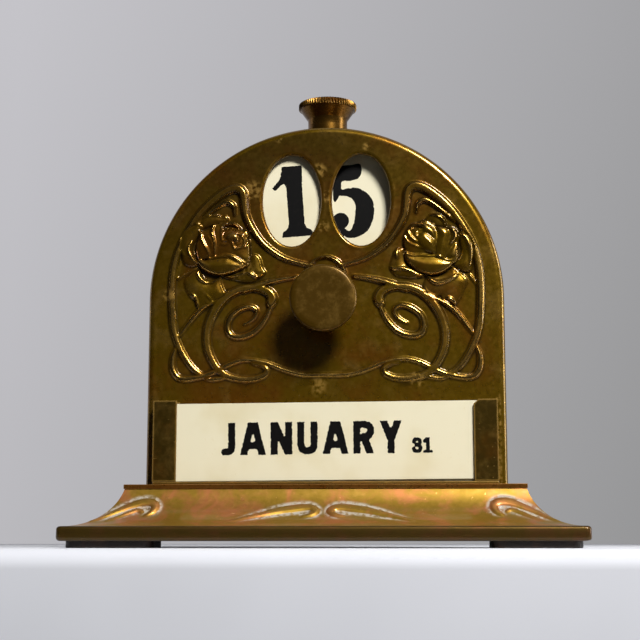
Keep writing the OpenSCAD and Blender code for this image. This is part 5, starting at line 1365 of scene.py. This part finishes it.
class CALENDAR_OT_front_plate(bpy.types.Operator):
    """Presses the front plate with its ornament, windows and rounded rim"""
    bl_idname = "calendar.front_plate"
    bl_label = "Front plate"

    def execute(self, context):
        bm = front_plate_mesh(context.scene.calendar_sizes)
        placed(bm, "pressed_front", "case", "aged_brass", replaces=("front_plate",), sharp=50.0)
        return {"FINISHED"}


class CALENDAR_OT_case(bpy.types.Operator):
    """Finishes the band, the cover and what holds them together"""
    bl_idname = "calendar.case"
    bl_label = "Case"

    def execute(self, context):
        softened("case_band", 0.12, "aged_brass")
        softened("back_cover", 0.25, "aged_brass")
        bm = slotted_screws("cover_screws", context.scene.calendar_sizes.screw_slot / MM)
        placed(bm, "slotted_cover_screws", "case", "turned_brass", replaces=("cover_screws",))
        paint("turned_brass", "joint_strip", "case_floor", "cover_lugs")
        return {"FINISHED"}


class CALENDAR_OT_base(bpy.types.Operator):
    """Presses the base shell with its scrolls and finishes its plates and screws"""
    bl_idname = "calendar.base"
    bl_label = "Base"

    def execute(self, context):
        bm = base_shell_mesh(context.scene.calendar_sizes)
        placed(bm, "pressed_base", "case", "aged_brass", finish="base_brass", replaces=("base_shell",),
               sharp=40.0)
        softened("base_top_plate", 0.25, "aged_brass", finish="plate_brass")
        paint("steel", "base_bottom_plate", "base_spacers", "base_screws")
        return {"FINISHED"}


class CALENDAR_OT_pads(bpy.types.Operator):
    """Cuts the four leather pads with soft edges"""
    bl_idname = "calendar.pads"
    bl_label = "Foot pads"

    def execute(self, context):
        for place in ("front_left", "front_right", "rear_left", "rear_right"):
            softened("foot_pad_" + place, 0.3, "pad_leather")
        return {"FINISHED"}


class CALENDAR_OT_card_holder(bpy.types.Operator):
    """Folds the channels and the sill that hold the cards"""
    bl_idname = "calendar.card_holder"
    bl_label = "Card holder"

    def execute(self, context):
        for node in ("card_sill", "left_card_channel", "right_card_channel"):
            softened(node, 0.35, "aged_brass", finish="folded_brass")
        paint("turned_brass", "channel_rivets")
        return {"FINISHED"}


class CALENDAR_OT_cards(bpy.types.Operator):
    """Cuts and prints the month cards"""
    bl_idname = "calendar.cards"
    bl_label = "Month cards"

    def execute(self, context):
        for number in range(1, len(MONTHS) + 1):
            node = "month_card_%d" % number
            softened(node, 0.08, "celluloid", body=node + "_body")
            card_print(number)
        return {"FINISHED"}


def knob_neck(bore, neck, head, waist, top, flare, under, corner):
    """The profile of a knob from the rim of its bore up its neck, of a given radius, to the corner below its
    head. The last five values are heights."""
    return [(bore, 0, 0, 0.6), (neck - 0.3, 0, 0, 0.5), (neck, 0.3, 0, 0.4), (neck, waist, 0, 0.1),
            (neck, top, 0, 0.35), (neck + 0.25, flare, 0, 0.3), (head - 0.1, under, 0, 0.2),
            (head, corner, 0, 0.4)]


class CALENDAR_OT_knobs(bpy.types.Operator):
    """Turns the front knob and the knurled top knob"""
    bl_idname = "calendar.knobs"
    bl_label = "Knobs"

    def execute(self, context):
        low, high = span("front_knob")
        rim, deep = (high.x - low.x) / 2, high.y - low.y
        profile = knob_neck(bore=2.05, neck=5.5, head=rim - 0.5, waist=3.0, top=6.1, flare=6.5, under=9.4,
                            corner=9.6)
        profile += [(rim - 0.12, 9.62, 0, 0.2), (rim, 9.75, 0, 0), (rim, deep - 0.65, 0, 0),
                    (rim - 0.12, deep - 0.4, 0, 0), (rim - 0.45, deep - 0.12, 0, 0), (rim - 0.8, deep, 0, 0),
                    (rim - 2.2, deep - 0.03, 0, 0.05), (rim - 4.5, deep - 0.08, 0, 0.05),
                    (1.2, deep - 0.1, 0, 0.05), (0.3, deep - 0.1, 0, 0.05)]
        back, turning_steps = high.y, 160
        bm = turned_solid(profile, deep - CROWN, turning_steps, lambda x, y, h: (x, back - h, ARBOR_Z + y))
        placed(bm, "turned_front_knob", "tens_works", "knob_brass", replaces=("front_knob",), sharp=40.0)
        low, high = span("top_knob")
        rim, tall = (high.x - low.x) / 2, high.z - low.z
        middle, tooth, teeth = (low.y + high.y) / 2, 0.24, 62
        profile = knob_neck(bore=1.55, neck=5.65, head=rim - 0.5, waist=2.2, top=4.3, flare=4.6, under=7.3,
                            corner=7.4)
        profile += [(rim - 0.4, 7.42, 0, 0.3), (rim - tooth, 7.6, 1, 0.1), (rim - tooth, tall - 0.35, 1, 0.1),
                    (rim - 0.35, tall - 0.12, 0.4, 0), (rim - 0.7, tall, 0, 0),
                    (rim - 2.5, tall - 0.05, 0, 0), (1.0, tall - 0.08, 0, 0), (0.3, tall - 0.08, 0, 0)]
        bm = turned_solid(profile, tall - CROWN, teeth * TOOTH_STEPS,
                          lambda x, y, h: (x, middle + y, low.z + h), tooth)
        placed(bm, "turned_top_knob", "top_works", "knob_brass", finish="top_knob_brass",
               replaces=("top_knob",), sharp=40.0)
        return {"FINISHED"}


class CALENDAR_OT_discs(bpy.types.Operator):
    """Cuts and prints the tens and the units disc"""
    bl_idname = "calendar.discs"
    bl_label = "Number discs"

    def execute(self, context):
        tall = context.scene.calendar_sizes.digit_height / MM
        for disc, body in (("tens_disc", "tens_works"), ("units_disc", "units_works")):
            softened(disc, 0.1, "celluloid", body=body)
        disc_print("tens_works", "tens_disc", "1230", WINDOWS_X[0], size=1.01 * tall, offset=(0.7, 0.2),
                   lean=3.8)
        disc_print("units_works", "units_disc", "5678901234", WINDOWS_X[1], size=1.03 * tall,
                   offset=(-2.3, 0.1), lean=1.0)
        return {"FINISHED"}


class CALENDAR_OT_works(bpy.types.Operator):
    """Finishes the arbor, hubs, gears, bushes and bracket inside the case"""
    bl_idname = "calendar.works"
    bl_label = "Works"

    def execute(self, context):
        paint("turned_brass", "front_bush", "arbor_collar", "tens_hub", "tens_rivets", "units_hub",
              "units_rivets", "crown_wheel", "top_bush", "top_bush_nut", "top_keeper", "pinion")
        paint("steel", "friction_washer", "arbor", "arbor_clip", "arbor_bracket", "bracket_screws",
              "top_shaft")
        return {"FINISHED"}


def rounded_board(name, material, half_w, front, back, low, edge, raised=0.0):
    """A board for the stage with a rounded front edge, its top at z = raised."""
    profile = [(back, raised), (front + edge, raised)]
    for a in map(math.radians, range(10, 91, 10)):
        profile.append((front + edge - edge * math.sin(a), raised - edge + edge * math.cos(a)))
    profile += [(front, raised + low), (back, raised + low)]
    bm = bmesh.new()
    closed_tube(bm, [[(side * half_w, y, z) for y, z in profile] for side in (-1, 1)])
    return new_object(mesh_of(bm, name), name, material, 30)


# Lamps: name, place, aim, width, height and power
LAMPS = (("key", (302, -583, 602), (0, 0, 62), 200, 200, 9.8),
         ("right_strip", (620, 10, 190), (0, 0, 70), 130, 420, 1.8),
         ("left_strip", (-640, 160, 110), (0, 0, 50), 90, 300, 0.12),
         ("overhead", (40, 140, 780), (0, 0, 40), 620, 460, 0.4))


def soft_lamp(name, place, aim, width, height, power):
    """A rectangular studio lamp, placed and aimed in millimetres."""
    data = bpy.data.lights.new(name, "AREA")
    data.shape = "RECTANGLE"
    data.size, data.size_y = width * MM, height * MM
    data.energy = power
    lamp = linked(name, data)
    lamp.location = Vector(place) * MM
    lamp.rotation_euler = (Vector(aim) - Vector(place)).to_track_quat("-Z", "Y").to_euler()


def studio_room(name, pale):
    """A dim room, a little lighter on the right, that the camera sees as a pale backdrop."""
    world = bpy.data.worlds.new(name)
    add = adder(world)
    side = add("ShaderNodeSeparateXYZ", {0: add("ShaderNodeTexCoord", out="Generated")}, "X")
    level = add(RANGE, (side, -0.9, 0.9, 0.02, 0.08), **SOFT)
    dim = add("ShaderNodeBackground", {"Color": (1, 1, 1, 1), "Strength": level})
    shown = add("ShaderNodeBackground", {"Color": rgba(pale), "Strength": 1.0})
    seen = add("ShaderNodeLightPath", out="Is Camera Ray")
    add("ShaderNodeOutputWorld", {"Surface": add("ShaderNodeMixShader", (seen, dim, shown))})
    return world


class CALENDAR_OT_stage(bpy.types.Operator):
    """Sets up the painted board, the backdrop, the lamps and the camera"""
    bl_idname = "calendar.stage"
    bl_label = "Stage"

    def execute(self, context):
        look = context.scene.calendar_colours
        white = new_material("Matt white paint", painted_board, paint_colour=look.board, rough=0.55,
                             grain_mm=1.4)
        grey = new_material("Grey backdrop paper", backdrop_paper, near=look.backdrop,
                            far=look.backdrop_shade, half_m=0.27)
        board = rounded_board("table_board", white, half_w=900.0, front=-46.5, back=740.0, low=-24.0,
                              edge=5.0)
        backdrop = rounded_board("backdrop", grey, half_w=6000.0, front=760.0, back=790.0, low=-2400.0,
                                 edge=2.0, raised=1300.0)
        for lamp in LAMPS:
            soft_lamp(*lamp)
        context.scene.world = studio_room("Studio room", look.backdrop)
        data = bpy.data.cameras.new("camera")
        data.sensor_width, data.lens = 36.0, 78.2
        data.clip_start, data.clip_end = 0.01, 20.0
        camera = linked("camera", data)
        camera.location = Vector((21.14, -386.4, 1.5)) * MM
        camera.rotation_euler = (math.radians(99.08), 0.0, math.radians(3.44))
        context.scene.camera = camera
        context.scene.view_settings.view_transform = "Standard"
        return {"FINISHED"}


class CALENDAR_PT_panel(bpy.types.Panel):
    """Lists the calendar's pieces"""
    bl_idname = "CALENDAR_PT_panel"
    bl_label = "Desk calendar"
    bl_space_type = "VIEW_3D"
    bl_region_type = "UI"
    bl_category = "Calendar"

    def draw(self, context):
        column = self.layout.column(align=True)
        for maker in OPERATORS:
            column.operator(maker.bl_idname)
        for group in (context.scene.calendar_sizes, context.scene.calendar_colours):
            for name in group.bl_rna.properties.keys():
                if name not in ("rna_type", "name"):
                    column.prop(group, name)


OPERATORS = (CALENDAR_OT_front_plate, CALENDAR_OT_case, CALENDAR_OT_base, CALENDAR_OT_pads,
             CALENDAR_OT_card_holder, CALENDAR_OT_cards, CALENDAR_OT_knobs, CALENDAR_OT_discs,
             CALENDAR_OT_works, CALENDAR_OT_stage)
CLASSES = (CALENDAR_PG_sizes, CALENDAR_PG_colours) + OPERATORS + (CALENDAR_PT_panel,)


def register():
    """Registers the classes and the two groups of properties."""
    for item in CLASSES:
        bpy.utils.register_class(item)
    bpy.types.Scene.calendar_sizes = PointerProperty(type=CALENDAR_PG_sizes)
    bpy.types.Scene.calendar_colours = PointerProperty(type=CALENDAR_PG_colours)


def unregister():
    """Takes the classes and properties away again."""
    del bpy.types.Scene.calendar_colours
    del bpy.types.Scene.calendar_sizes
    for item in reversed(CLASSES):
        bpy.utils.unregister_class(item)


def main():
    """Builds every piece."""
    register()
    for maker in OPERATORS:
        group, name = maker.bl_idname.split(".")
        getattr(getattr(bpy.ops, group), name)()


if __name__ == "__main__":
    main()
